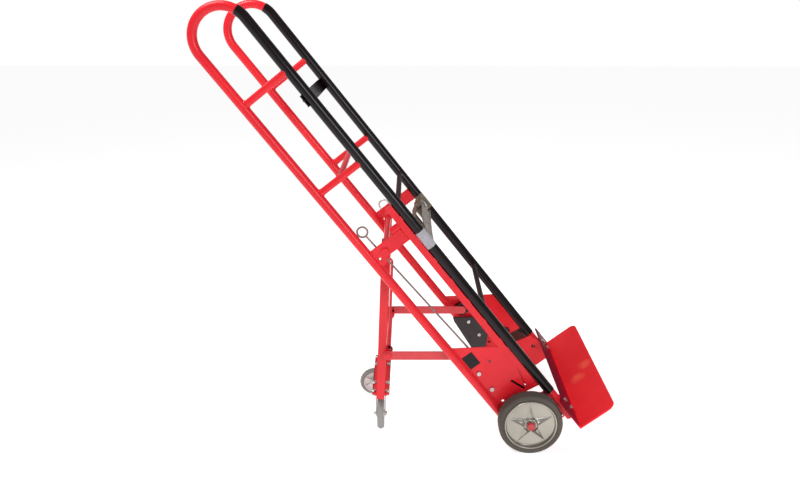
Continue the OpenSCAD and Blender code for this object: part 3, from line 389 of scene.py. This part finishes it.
def rounded(points, steps=8):
    """An outline whose (x, y, r) corners are rounded."""
    result = []
    count = len(points)
    for i, (x, y, r) in enumerate(points):
        here = Vector((x, y))
        before = (Vector(points[i - 1][:2]) - here).normalized()
        after = (Vector(points[(i + 1) % count][:2]) - here).normalized()
        half = before.angle(after) / 2
        reach = r / math.tan(half)
        middle = here + (before + after).normalized() * (r / math.sin(half))
        first = here + before * reach - middle
        turn = first.angle_signed(here + after * reach - middle)
        for k in range(steps + 1):
            arc = Matrix.Rotation(-turn * k / steps, 2) @ first
            result.append(tuple(middle + arc))
    return result


# painted shade: a dark sheet behind each side plate's slot stands in for the shade inside the frame seen
# through it
SLOT_TURN, SLOT_AT, SHADE_SHEET_X = math.radians(71), (-37.8, 107.9), 215.8
SHADE_SHEET_CORNERS = [(-32, -9, 5), (32, -9, 5), (32, 9, 5), (-32, 9, 5)]
slot_cos, slot_sin = math.cos(SLOT_TURN), math.sin(SLOT_TURN)
slot_flat = Matrix(((0, 0, 1), (slot_cos, -slot_sin, 0), (slot_sin, slot_cos, 0))).to_4x4()
slot_shade_sheets = bmesh.new()
for side in BOTH:
    spot = RAILS @ Matrix.Translation(Vector((side * SHADE_SHEET_X, *SLOT_AT)) * MM) @ slot_flat
    plate_outline(slot_shade_sheets, spot, rounded(SHADE_SHEET_CORNERS), -1.2, 1.2)
make_piece("side_plate_slot_shade_sheets", slot_shade_sheets, "chassis", black_gloss)

# ---- Toe plate -------------------------------------------------------------
# A bent steel plate on which the load stands, in the frame's red. Its upper face is rubbed in the middle
# by what has stood on it. Its base is a lighter copy of that red as painted light, and its heel has painted
# shade.
TOE_TOP, HEEL_FRONT, HEEL_H = -88.6, -119.3, 76
RUB_SPOTS = (rail_point(-47, -178, TOE_TOP), rail_point(6, -219, TOE_TOP))


def rubbed_middle_and_heel_shade(tree, tone):
    """Two rubbed spots on the upper face, and painted shade on the heel, darker towards its top edge."""
    spot = add_node(tree, "ShaderNodeTexCoord").outputs["Object"]
    blots = add_node(tree, "ShaderNodeTexNoise",
                     {"Vector": spot, "Scale": 30.0, "Detail": 5.0, "Roughness": 0.6})
    ragged = math_node(tree, "MULTIPLY", blots.outputs["Fac"], 0.05)
    for at in RUB_SPOTS:
        away = add_node(tree, "ShaderNodeVectorMath", {0: spot, 1: tuple(at)}, operation="DISTANCE")
        reach = math_node(tree, "ADD", away.outputs["Value"], ragged)
        near = add_node(tree, "ShaderNodeMapRange", {"Value": reach, "From Min": 0.035,
                                                     "From Max": 0.055, "To Min": 0.6, "To Max": 0.0})
        tone = mix_color(tree, near.outputs[0], tone, (0.90, 0.13, 0.075, 1))
    # painted shade: the heel is mixed towards a dark maroon that deepens towards its top edge
    up = RAILS.to_3x3().col[2]
    along = add_node(tree, "ShaderNodeVectorMath", {0: spot, 1: tuple(up)}, operation="DOT_PRODUCT")
    height = math_node(tree, "SUBTRACT", along.outputs["Value"], up.dot(AXLE_AT))
    heel = add_node(tree, "ShaderNodeMapRange", {"Value": height, "From Min": -0.086, "From Max": -0.078})
    fade = add_node(tree, "ShaderNodeMapRange", {"Value": height, "From Min": -0.085, "From Max": -0.02})
    shadow = mix_color(tree, fade.outputs[0], (0.36, 0.006, 0.03, 1), (0.17, 0.005, 0.02, 1))
    return mix_color(tree, heel.outputs[0], tone, shadow)


# painted light: the frame's red made lighter, so the upper face, which the lamps reach less, shows as bright
# as the frame
toe_lit_red = coated("toe_plate_lit_red", (0.88, 0.020, 0.028), (0.78, 0.014, 0.022), (0.86, 0.12, 0.09),
                 0.46, 0.0, 0.5, shine=0.12, extra=rubbed_middle_and_heel_shade)
finish_node(("toe_plate",), toe_lit_red, 1.6)

# ---- Bolts, nuts and pins --------------------------------------------------
# Zinc plated hexagon screws with chamfered heads, washers and threads that
# show past their nuts.
bright_zinc = coated("bright_zinc", (0.66, 0.64, 0.60), (0.50, 0.48, 0.46), (0.30, 0.28, 0.26),
                     0.3, 0.0, 0.5, 500.0, 0.1, 1.0)


def turned(maker, matrix, profile, steps=32, close_ends=True):
    """Turns a profile of (radius, height) in millimetres about the matrix's Z."""
    rings = []
    for radius, height in profile:
        if radius <= 0:
            rings.append([maker.verts.new(matrix @ Vector((0, 0, height * MM)))])
            continue
        angles = [2 * math.pi * k / steps for k in range(steps)]
        spots = [Vector((radius * math.cos(a) * MM, radius * math.sin(a) * MM, height * MM))
                 for a in angles]
        rings.append([maker.verts.new(matrix @ spot) for spot in spots])
    pairs = list(zip(rings, rings[1:]))
    if close_ends == "ring":
        pairs.append((rings[-1], rings[0]))
    for low, high in pairs:
        for k in range(steps):
            m = (k + 1) % steps
            if len(low) == 1:
                maker.faces.new((low[0], high[m], high[k]))
            elif len(high) == 1:
                maker.faces.new((low[k], low[m], high[0]))
            else:
                maker.faces.new((low[k], low[m], high[m], high[k]))
    if close_ends is True:
        if len(rings[0]) > 1:
            maker.faces.new(list(reversed(rings[0])))
        if len(rings[-1]) > 1:
            maker.faces.new(rings[-1])


def hexagon(maker, matrix, low, high, flats, chamfer=0.6):
    """A hexagon head or nut between two heights, chamfered at both."""
    corner = flats / math.sqrt(3)
    end_r, bevel = corner - chamfer, chamfer * 0.7
    turned(maker, matrix, [(end_r, low), (corner, low + bevel), (corner, high - bevel), (end_r, high)], 6)


def screw_thread(maker, matrix, low, high, radius, pitch=1.25, steps=14):
    profile = [(radius - 0.5, low)]
    z = low + 0.3
    while z < high - pitch:
        profile += [(radius - 0.35, z), (radius, z + pitch * 0.5)]
        z += pitch
    profile += [(radius - 0.8, high)]
    turned(maker, matrix, profile, steps)


def bolt(maker, matrix, head_low, head_high, shank_to, radius, flats, nut=None, washer=1.4):
    """A screw along Z: head between two heights, shank to a third, and a nut."""
    hexagon(maker, matrix, head_low, head_high - washer, flats)
    turned(maker, matrix, [(flats * 0.66, head_high - washer), (flats * 0.66, head_high)])
    screw_thread(maker, matrix, head_high, shank_to, radius)
    if nut:
        hexagon(maker, matrix, nut[0], nut[1], flats)


steel_screws = bmesh.new()
for side in BOTH:
    for z in (TOE_TOP + HEEL_H * 0.3, TOE_TOP + HEEL_H * 0.75):
        spot = rail_turn(side * HALF_W, HEEL_FRONT - 6, z, (0, 1, 0))
        bolt(steel_screws, spot, -5.4, -0.1, 42, 4, 13, (35.5, 40))
make_piece("toe_plate_screws", steel_screws, "chassis", bright_zinc, ("toe_bolts",))

strap_screws = bmesh.new()
for side in BOTH:
    bolt(strap_screws, rail_turn(side * HALF_W, -85.0, 1219, (0, -1, 0)), -4.2, -0.1, 30, 3, 10)
make_piece("back_strap_screws", strap_screws, "chassis", bright_zinc, ("back_strap_bolts",))

glide_screws = bmesh.new()
for side, places in ((-1, ((36.75, 216), (36.3, 146))), (1, ((42.6, 210.5), (43.1, 144.4)))):
    for y, z in places:
        spot = rail_turn(side * 199.2, y, z, (side, 0, 0))
        turned(glide_screws, spot, [(0, -2.6), (4.5, -2.4), (6.2, -1.2), (6.4, 0)], 28)
        turned(glide_screws, spot, [(8, 6.3), (8, 18)], 28)
        screw_thread(glide_screws, spot, 18, 31.5, 4)
        hexagon(glide_screws, spot, 23.5, 29.5, 13)
make_piece("stair_glide_screws", glide_screws, "chassis", bright_zinc, ("glide_bolts",))
finish_node(("axle", "axle_spacers", "hook_loop"), bright_zinc)

# ---- Stair glides ----------------------------------------------------------
# Black slippery plastic plates inside the side frames, on which the truck
# slides up a step. Worn grey along the edges by steps.
glide_plastic = coated("black_plastic", (0.018, 0.014, 0.016), (0.030, 0.022, 0.024),
                       (0.16, 0.13, 0.13), 0.42, 0.0, 0.7, 300.0, 0.15)
finish_node(("left_stair_glide", "right_stair_glide"), glide_plastic, 1.2)

# ---- Main wheels -----------------------------------------------------------
# Solid rubber tyres on pressed steel discs with a rolled lip and a five-armed
# star pressed into the dish, held by a red cap on the axle's end.
WHEEL_IN, TYRE_W, WHEEL_R, HUB_R = 246.8, 43, 101.6, 84.1
tyre_rubber = coated("tyre_rubber", (0.100, 0.082, 0.068), (0.070, 0.057, 0.047),
                     (0.18, 0.155, 0.13), 0.6, 0.0, 0.7, 260.0, 0.35, shine=0.3)
pressed_zinc = coated("pressed_zinc", (0.40, 0.375, 0.325), (0.32, 0.30, 0.26),
                      (0.24, 0.215, 0.18), 0.27, 0.0, 0.4, 340.0, 0.1, 0.9)
cap_red = coated("cap_red", (0.55, 0.04, 0.04), (0.42, 0.025, 0.025), (0.75, 0.2, 0.15), 0.32, 0.3)


def wheel_matrix(side):
    inner_face = Matrix.Translation(Vector((side * WHEEL_IN * MM, 0, 0)))
    return RAILS @ inner_face @ Matrix.Rotation(side * math.pi / 2, 4, "Y")


def tyre_profile():
    shoulder = 5
    points = [(HUB_R + 0.4, 1.5), (HUB_R + 4, 0.4), (HUB_R + 5, 1.2), (HUB_R + 9, 0.2), (HUB_R + 11.5, 0.3)]
    for i in range(6):
        a = math.pi / 2 * i / 5
        radius = WHEEL_R - shoulder + shoulder * math.sin(a) - 0.25
        points.append((radius, shoulder - shoulder * math.cos(a) + 0.3))
    for groove in (14.5, 28.5):
        points += [(WHEEL_R, groove - 1.6), (WHEEL_R - 1.8, groove - 0.9),
                   (WHEEL_R - 1.8, groove + 0.9), (WHEEL_R, groove + 1.6)]
    mirrored = [(r, TYRE_W - z) for r, z in reversed(points[:11])]
    return points + mirrored


def wheel_disc(maker, matrix):
    """The pressed disc: lip, dish, star and boss, as a polar surface."""
    steps, arms = 200, 5
    star_in, star_out, arm_half, arm_high = 20.5, 74, 14.5, 8.5
    outline = [(83.7, 3), (83.7, 38), (83.5, 42.2), (82.5, 43.6), (80.8, 43.9), (79.2, 43.2),
               (78.2, 41), (77.4, 37), (76.0, 34.2), (73, 32.6), (69, 32.0), (64, 31.9), (58, 31.9),
               (52, 32.0), (46, 32.2), (40, 32.6), (34, 33.1), (29, 33.7), (25, 34.6), (22.6, 36.2),
               (21.4, 38.6), (20.4, 40.2), (18.8, 41.0), (16.5, 41.2), (15.4, 40.6), (15.2, 36)]
    rings = []
    for radius, height in outline:
        ring = []
        for k in range(steps):
            angle = 2 * math.pi * k / steps
            arm = (angle * arms / (2 * math.pi)) % 1.0
            off = abs(arm - 0.5) * 2 * math.pi / arms * radius
            lift = 0.0
            if star_in < radius < star_out:
                width = arm_half * (star_out - radius) / 53
                crest = max(0.0, 1 - off / max(width, 0.1))
                lift = arm_high * min(1.0, (star_out - radius) / 36) * crest
            spot = Vector((radius * math.cos(angle), radius * math.sin(angle), height + lift)) * MM
            ring.append(maker.verts.new(matrix @ spot))
        rings.append(ring)
    for low, high in zip(rings, rings[1:]):
        for k in range(steps):
            m = (k + 1) % steps
            maker.faces.new((low[k], low[m], high[m], high[k]))


STAR_SPIN = math.radians(73.5)
DISC_BACK = [(83.7, 38), (83.7, 1.5), (82.5, 0.4), (81, 1), (80.4, 4), (80, 26), (73, 27.5),
             (30, 28.4), (22, 26), (19, 22), (19, -0.4), (8.1, -0.4), (8.1, 43.6), (13.6, 43.6),
             (14.6, 42.8), (15.3, 36)]
CAP_PROFILE = [(8.1, 44), (12.2, 44), (13, 44.8), (13, 50), (12.4, 52.6), (10.6, 54.4), (7, 55),
               (6, 53.8), (0, 53.6)]
for side, label in ((-1, "left"), (1, "right")):
    wheel, spot = f"{label}_wheel", wheel_matrix(side)
    tyre = bmesh.new()
    turned(tyre, spot, tyre_profile(), 128, "ring")
    make_piece(f"{label}_main_tyre", tyre, wheel, tyre_rubber, (f"{label}_tyre",), 28)
    disc = bmesh.new()
    wheel_disc(disc, spot @ Matrix.Rotation(STAR_SPIN, 4, "Z"))
    turned(disc, spot, DISC_BACK, 96, False)
    make_piece(f"{label}_main_disc", disc, wheel, pressed_zinc, (f"{label}_hub",), 24)
    cap = bmesh.new()
    turned(cap, spot, CAP_PROFILE, 40, False)
    make_piece(f"{label}_axle_end_cap", cap, "chassis", cap_red,
               (f"{label}_axle_cap",), 30)

# ---- Folding carriage ------------------------------------------------------
# Two square tube legs hang on the pivot shaft and hold the caster beam. They
# are welded up and painted with the frame; the braces are a lighter red.
leg_red = coated("leg_red", (0.76, 0.018, 0.028), (0.64, 0.012, 0.020), (0.84, 0.16, 0.14),
                 0.36, 0.15, 0.55, shine=0.3)
brace_red = coated("brace_red", (0.70, 0.060, 0.066), (0.58, 0.036, 0.046), (0.8, 0.22, 0.2),
                   0.42, 0.1, 0.7, shine=0.35)
FOOT_Y, BEAM_H, BEAM_T, CASTER_X = 100.685, 124, 6, 98.5
SHAFT_Y, SHAFT_Z, SHAFT_WELD_R = 73.685, 292, 13.4
carriage_welds = bmesh.new()
for side in BOTH:
    for z in (BEAM_H + BEAM_T + 0.6, BEAM_H - 0.4):
        line = [Vector((side * 140.6, FOOT_Y - 20 + 2.6 * i, z)) * MM for i in range(16)]
        weld_bead(carriage_welds, line, size=2.2)
    for x in (140.4, 169.4):
        ring = []
        for i in range(40):
            a = 2 * math.pi * i / 40
            u, v = SHAFT_WELD_R * math.cos(a), SHAFT_WELD_R * math.sin(a)
            ring.append(Vector((side * x, SHAFT_Y + u, SHAFT_Z + v)) * MM)
        weld_bead(carriage_welds, ring, True, 1.4)
make_piece("carriage_welds", carriage_welds, "carriage", leg_red)
finish_node(("left_leg", "right_leg", "caster_beam"), leg_red, 1.4)
finish_node(("brace_shaft", "pull_rod"), leg_red)
finish_node(("braces",), brace_red, 0.8)

carriage_screws = bmesh.new()
for side in BOTH:
    for dx in BOTH:
        for dy in BOTH:
            place = Vector((side * CASTER_X + dx * 29, FOOT_Y + dy * 22.5, 0)) * MM
            spot = Matrix.Translation(place)
            hexagon(carriage_screws, spot, BEAM_H + BEAM_T + 1.2, BEAM_H + BEAM_T + 6.4, 13)
            turned(carriage_screws, spot, [(8, BEAM_H + BEAM_T), (8, BEAM_H + BEAM_T + 1.2)])
            screw_thread(carriage_screws, spot, BEAM_H - 10, BEAM_H + BEAM_T, 4)
            hexagon(carriage_screws, spot, BEAM_H - 9.2, BEAM_H - 4.1, 12)
make_piece("caster_plate_screws", carriage_screws, "carriage", bright_zinc, ("caster_bolts",))
shaft_nuts = bmesh.new()
for side in BOTH:
    nut_face = Matrix.Translation(Vector((side * 191, SHAFT_Y, SHAFT_Z)) * MM)
    spot = nut_face @ Matrix.Rotation(side * math.pi / 2, 4, "Y")
    hexagon(shaft_nuts, spot, 0.1, 5, 21, 0.9)
make_piece("brace_shaft_nuts", shaft_nuts, "carriage", leg_red, ("brace_nuts",))

# ---- Casters ---------------------------------------------------------------
# Pressed steel forks on ball races, with grey rubber treads on light cast
# cores. Left and right wheels are alike; each runs on a screw with a nut.
CASTER_R, CORE_R = 50.8, 37.8
grey_rubber = coated("grey_rubber", (0.32, 0.31, 0.295), (0.25, 0.24, 0.23), (0.34, 0.32, 0.3),
                     0.62, 0.0, 0.8, 260.0, 0.3)
cast_core = coated("cast_core", (0.80, 0.77, 0.75), (0.70, 0.67, 0.65), (0.5, 0.47, 0.45),
                   0.45, 0.0, 0.5, 240.0, 0.25, 0.2)
finish_node(("left_caster_fork", "right_caster_fork", "caster_plates"), bright_zinc, 0.6)
for side, label, swivel in ((-1, "left", 90), (1, "right", 6)):
    kingpin = Matrix.Translation(Vector((side * CASTER_X, FOOT_Y, 0)) * MM)
    kingpin = kingpin @ Matrix.Rotation(math.radians(swivel), 4, "Z")
    spot = kingpin @ Matrix.Translation(Vector((0, 33, CASTER_R)) * MM) @ Matrix.Rotation(math.pi / 2, 4, "Y")
    wheel = f"{label}_caster_wheel"
    tread = bmesh.new()
    profile = [(CORE_R + 0.2, -10.6), (CORE_R + 4, -11), (CORE_R + 8, -10.8)]
    for i in range(9):
        a = math.pi * i / 8
        if 0 < i < 8:
            profile.append((CASTER_R - 5 + 5 * math.sin(a), -8 * math.cos(a)))
        else:
            profile.append((CASTER_R - 4.2, -10 if i == 0 else 10))
    profile += [(CORE_R + 8, 10.8), (CORE_R + 4, 11), (CORE_R + 0.2, 10.6)]
    turned(tread, spot, profile, 96, "ring")
    make_piece(f"{label}_caster_rubber", tread, wheel, grey_rubber,
               (f"{label}_caster_tread",), 32)
    core = bmesh.new()
    half = [(CORE_R - 0.1, 0), (CORE_R - 0.1, 9.4), (CORE_R - 0.8, 10.2), (CORE_R - 3, 10.2),
            (CORE_R - 4, 9), (CORE_R - 5.2, 4), (CORE_R - 8, 2.6), (22, 2.4), (14.5, 3.4),
            (12.6, 6), (12, 11.4), (11.4, 12.4), (4.1, 12.4), (4.1, 0)]
    turned(core, spot, half, 72, False)
    turned(core, spot, [(r, -z) for r, z in reversed(half)], 72, False)
    for i in range(6):
        rib = Matrix.Rotation(math.pi / 3 * i, 4, "Z")
        for face in BOTH:
            low, high = sorted((face * 1.8, face * 7.6))
            block = bmesh.ops.create_cube(core, size=1)
            middle = Matrix.Translation(Vector((22, 0, (low + high) / 2)) * MM)
            bmesh.ops.transform(core, verts=block["verts"],
                                matrix=spot @ rib @ middle @ Matrix.Diagonal((0.022, 0.0026, 0.0058, 1)))
    make_piece(f"{label}_caster_core_cast", core, wheel, cast_core,
               (f"{label}_caster_core",), 30)
    axle_screw = bmesh.new()
    hexagon(axle_screw, spot, -21.2, -16.2, 13)
    turned(axle_screw, spot, [(4, -16.3), (4, 16.3)], 24)
    hexagon(axle_screw, spot, 16.2, 21.2, 13)
    screw_thread(axle_screw, spot, 20.5, 24, 4)
    make_piece(f"{label}_caster_screw", axle_screw, f"{label}_caster", bright_zinc,
               (f"{label}_caster_axle",))

# ---- Lock rod --------------------------------------------------------------
# A thin plated wire rod with a bent finger ring. It turns in the pivot plate
# and in the left saddle, and its foot keeps the brace's pin up.
rod_wire = coated("rod_wire", (0.33, 0.24, 0.22), (0.22, 0.16, 0.15), (0.5, 0.42, 0.38),
                  0.4, 0.0, 0.6, 420.0, 0.15, 0.85)
finish_node(("control_rod",), rod_wire)

# ---- Strap and ratchet -----------------------------------------------------
# A worn brown-grey web strap goes round both front tubes. A pressed steel
# ratchet between them takes up the slack on its spool.
STRAP_Z, STRAP_W, STRAP_T, SPOOL_X, SPOOL_Y = 677, 50, 3, 90, -100

web, web_in, web_out = new_group("web_weave", {"Rib Scale": 1.0}, ("Height", "Tone"))
web_place = add_node(web, "ShaderNodeTexCoord").outputs["Object"]
web_turn = add_node(web, "ShaderNodeMapping", {"Vector": web_place, "Rotation": (LEAN, 0, 0)}).outputs[0]
ribs = add_node(web, "ShaderNodeTexWave",
                {"Vector": web_turn, "Scale": 120.0, "Distortion": 0.6, "Detail": 1.0},
                wave_type="BANDS", bands_direction="Z")
picks = add_node(web, "ShaderNodeTexWave",
                 {"Vector": web_turn, "Scale": 210.0, "Distortion": 0.4, "Detail": 1.0},
                 wave_type="BANDS", bands_direction="X")
crossing = math_node(web, "ADD", ribs.outputs["Fac"], picks.outputs["Fac"])
woven = math_node(web, "MULTIPLY", crossing, web_in.outputs["Rib Scale"])
soiled = add_node(web, "ShaderNodeTexNoise", {"Vector": web_place, "Scale": 30.0, "Detail": 5.0})
web.links.new(woven, web_out.inputs["Height"])
web.links.new(soiled.outputs["Fac"], web_out.inputs["Tone"])


def webbing(name, light, dark):
    material = bpy.data.materials.new(name)
    material.use_nodes = True
    tree = material.node_tree
    shader = tree.nodes["Principled BSDF"]
    weave = put_group(tree, web, rib_scale=1.0)
    stain = add_node(tree, "ShaderNodeMapRange",
                     {"Value": weave.outputs["Tone"], "From Min": 0.35, "From Max": 0.65})
    tone = mix_color(tree, stain.outputs[0], (*light, 1), (*dark, 1))
    shade = add_node(tree, "ShaderNodeMapRange", {"Value": weave.outputs["Height"], "From Max": 1.4,
                                                  "To Min": 0.6, "To Max": 1.0})
    scaled = add_node(tree, "ShaderNodeVectorMath", {0: tone, "Scale": shade.outputs[0]}, operation="SCALE")
    tree.links.new(scaled.outputs[0], shader.inputs["Base Color"])
    relief = add_node(tree, "ShaderNodeBump",
                      {"Height": weave.outputs["Height"], "Strength": 0.6, "Distance": 0.0005})
    tree.links.new(relief.outputs[0], shader.inputs["Normal"])
    shader.inputs["Roughness"].default_value = 0.85
    shader.inputs["Sheen Weight"].default_value = 0.3
    return material


brown_web = webbing("brown_web", (0.20, 0.145, 0.10), (0.13, 0.092, 0.062))
pale_web = webbing("pale_web", (0.52, 0.485, 0.53), (0.42, 0.39, 0.43))


WEB_SECTION = [(-0.5, -0.3), (-0.48, -0.5), (0.48, -0.5), (0.5, -0.3),
               (0.5, 0.3), (0.48, 0.5), (-0.48, 0.5), (-0.5, 0.3)]


def web_band(maker, path, width=STRAP_W, thick=STRAP_T, pull=None):
    """A strap along upright (x, y) points, with soft edges and a little wave.
    pull(x) gives a narrower width and a shift along the rails where it bunches."""
    rows = []
    count = len(path)
    for i, (x, y) in enumerate(path):
        broad, shift = pull(x) if pull else (width, 0)
        ahead, behind = path[min(i + 1, count - 1)], path[max(i - 1, 0)]
        run = Vector((ahead[0] - behind[0], ahead[1] - behind[1], 0)).normalized()
        out = Vector((-run.y, run.x, 0))
        wave = 0.35 * math.sin(i * 0.9)
        rows.append([])
        for across, deep in WEB_SECTION:
            point = Vector((x, y, STRAP_Z + across * broad + shift + wave)) + out * (deep * thick)
            rows[-1].append(maker.verts.new(rail_point(*point)))
    sides = len(WEB_SECTION)
    for low, high in zip(rows, rows[1:]):
        for k in range(sides):
            m = (k + 1) % sides
            maker.faces.new((low[k], low[m], high[m], high[k]))
    maker.faces.new(list(reversed(rows[0])))
    maker.faces.new(rows[-1])


def web_loop(maker, side, wide=61):
    """Strap wound round a front tube through 350 degrees."""
    start, sweep_angle, count = math.radians(20), math.radians(350), 60
    path = []
    for i in range(count + 1):
        a = start + sweep_angle * i / count
        reach = TUBE_R + 1.1 + 0.8 * i / count
        path.append((side * HALF_W + reach * math.cos(a), FRONT_Y + reach * math.sin(a)))
    web_band(maker, path, wide, 1.6)


def drawn_in(x):
    """Towards the left tube the strap is pulled together and slides down."""
    part = min(1.0, max(0.0, (x + 214) / 120))
    return 20 + 30 * part ** 0.8, -17 * (1 - part)


RING_X = 184


def through_ring(x):
    """The short end is gathered where it passes through its ring."""
    part = min(1.0, abs(x - RING_X) / 20)
    return 30 + 20 * part, -2.0


left_web = bmesh.new()
left_path = [(x, SPOOL_Y - 15.6 + 1.2 * math.sin((x + HALF_W) / 310 * math.pi)) for x in range(-214, 84, 8)]
web_band(left_web, left_path, pull=drawn_in)
make_piece("left_web_strap", left_web, "chassis", brown_web, ("strap_left",))
left_loop = bmesh.new()
web_loop(left_loop, -1)
make_piece("left_web_loop", left_loop, "chassis", pale_web)
right_web = bmesh.new()
lap_angles = [math.pi * (0.5 + k / 10) for k in range(11)]
lap = [(156 + 5.7 * math.cos(a), SPOOL_Y + 5.7 * math.sin(a)) for a in lap_angles]
flat_run = [(x, SPOOL_Y - 4.6 + (x - 160) * 0.03) for x in range(164, 214, 5)]
web_band(right_web, lap + flat_run, pull=through_ring)
lap_end = [(156, SPOOL_Y + 5.7), (164, SPOOL_Y + 3.6), (172, SPOOL_Y + 0.6), (182, SPOOL_Y - 1.0)]
web_band(right_web, lap_end)
web_loop(right_web, 1)
make_piece("right_web_strap", right_web, "chassis", brown_web, ("strap_right",))
strap_ring = bmesh.new()
ring_path = []
for i in range(48):
    a = 2 * math.pi * i / 48
    u, v = 9 * math.cos(a), 19.5 * math.sin(a)
    ring_path.append(rail_point(RING_X + 3 * math.sin(a), -102 + u, STRAP_Z - 2 + v))
sweep(strap_ring, ring_path, lambda i: 2.4, 12, True)
make_piece("strap_ring", strap_ring, "chassis", bright_zinc)
dull_zinc = coated("dull_zinc", (0.25, 0.21, 0.155), (0.16, 0.135, 0.10), (0.42, 0.38, 0.32),
                   0.38, 0.0, 0.55, 420.0, 0.15, 0.6)
CHEEK_GAP, CHEEK_T = 26.5, 2.5
body_plates = bmesh.new()
cheek = rounded([(-18, -14, 9), (74, -14, 9), (74, 14, 9), (-18, 14, 12)])
spool_at = RAILS @ Matrix.Translation(Vector((SPOOL_X, SPOOL_Y, STRAP_Z)) * MM)
for low in (-CHEEK_GAP - CHEEK_T, CHEEK_GAP):
    plate_outline(body_plates, spool_at, cheek, low, low + CHEEK_T)
anchor = spool_at @ Matrix.Translation(Vector((66, 0, 0)) * MM)
turned(body_plates, anchor, [(4, -CHEEK_GAP - 3), (4, CHEEK_GAP + 3)], 24)
hexagon(body_plates, anchor, -CHEEK_GAP - 7, -CHEEK_GAP - CHEEK_T, 13)
hexagon(body_plates, anchor, CHEEK_GAP + CHEEK_T, CHEEK_GAP + 7, 13)
plate_outline(body_plates, spool_at, [(42, 11), (64, 11), (64, 14), (42, 14)], -CHEEK_GAP, CHEEK_GAP)
make_piece("ratchet_cheeks", body_plates, "chassis", dull_zinc, ("ratchet_frame",), 30)

lever = bmesh.new()
ARM_Z = 32.0
arm = rounded([(-120, 5, 5), (-10, 1, 3), (14, -9, 9), (14, 12, 9), (-20, 20, 6), (-120, 19, 6)])
for low in (-ARM_Z, ARM_Z - CHEEK_T):
    plate_outline(lever, spool_at, arm, low, low + CHEEK_T)
grip = spool_at @ Matrix.Translation(Vector((-112, 12, 0)) * MM)
grip_profile = [(4.5, -ARM_Z - 1.5), (6.2, -ARM_Z + CHEEK_T)]
for i in range(9):
    z = -24 + i * 6
    grip_profile += [(6.0, z - 2.4), (6.9, z - 1), (6.9, z + 1), (6.0, z + 2.4)]
turned(lever, grip, grip_profile + [(6.2, ARM_Z - CHEEK_T), (4.5, ARM_Z + 1.5)], 28)
tie = rounded([(-80, 14.5, 1), (-40, 14.5, 1), (-40, 17, 1), (-80, 17, 1)], 3)
plate_outline(lever, spool_at, tie, -ARM_Z + 1, ARM_Z - 1)
make_piece("ratchet_lever_arms", lever, "ratchet_lever", dull_zinc, ("ratchet_handle",), 30)

spool = bmesh.new()
turned(spool, spool_at, [(6.2, -35), (7, -34.4), (7, 34.4), (6.2, 35)], 32)
make_piece("ratchet_mandrel", spool, "ratchet_roll", dull_zinc)
wound = bmesh.new()
turns = []
per_turn = 32
for i in range(5 * per_turn + 1):
    a = 2 * math.pi * i / per_turn
    radius = 8.6 + 1.45 * i / per_turn
    turns.append((SPOOL_X + radius * math.cos(a + 0.4), SPOOL_Y + radius * math.sin(a + 0.4)))
web_band(wound, turns, STRAP_W, 1.4)
make_piece("wound_web", wound, "ratchet_roll", brown_web, ("ratchet_spool",))
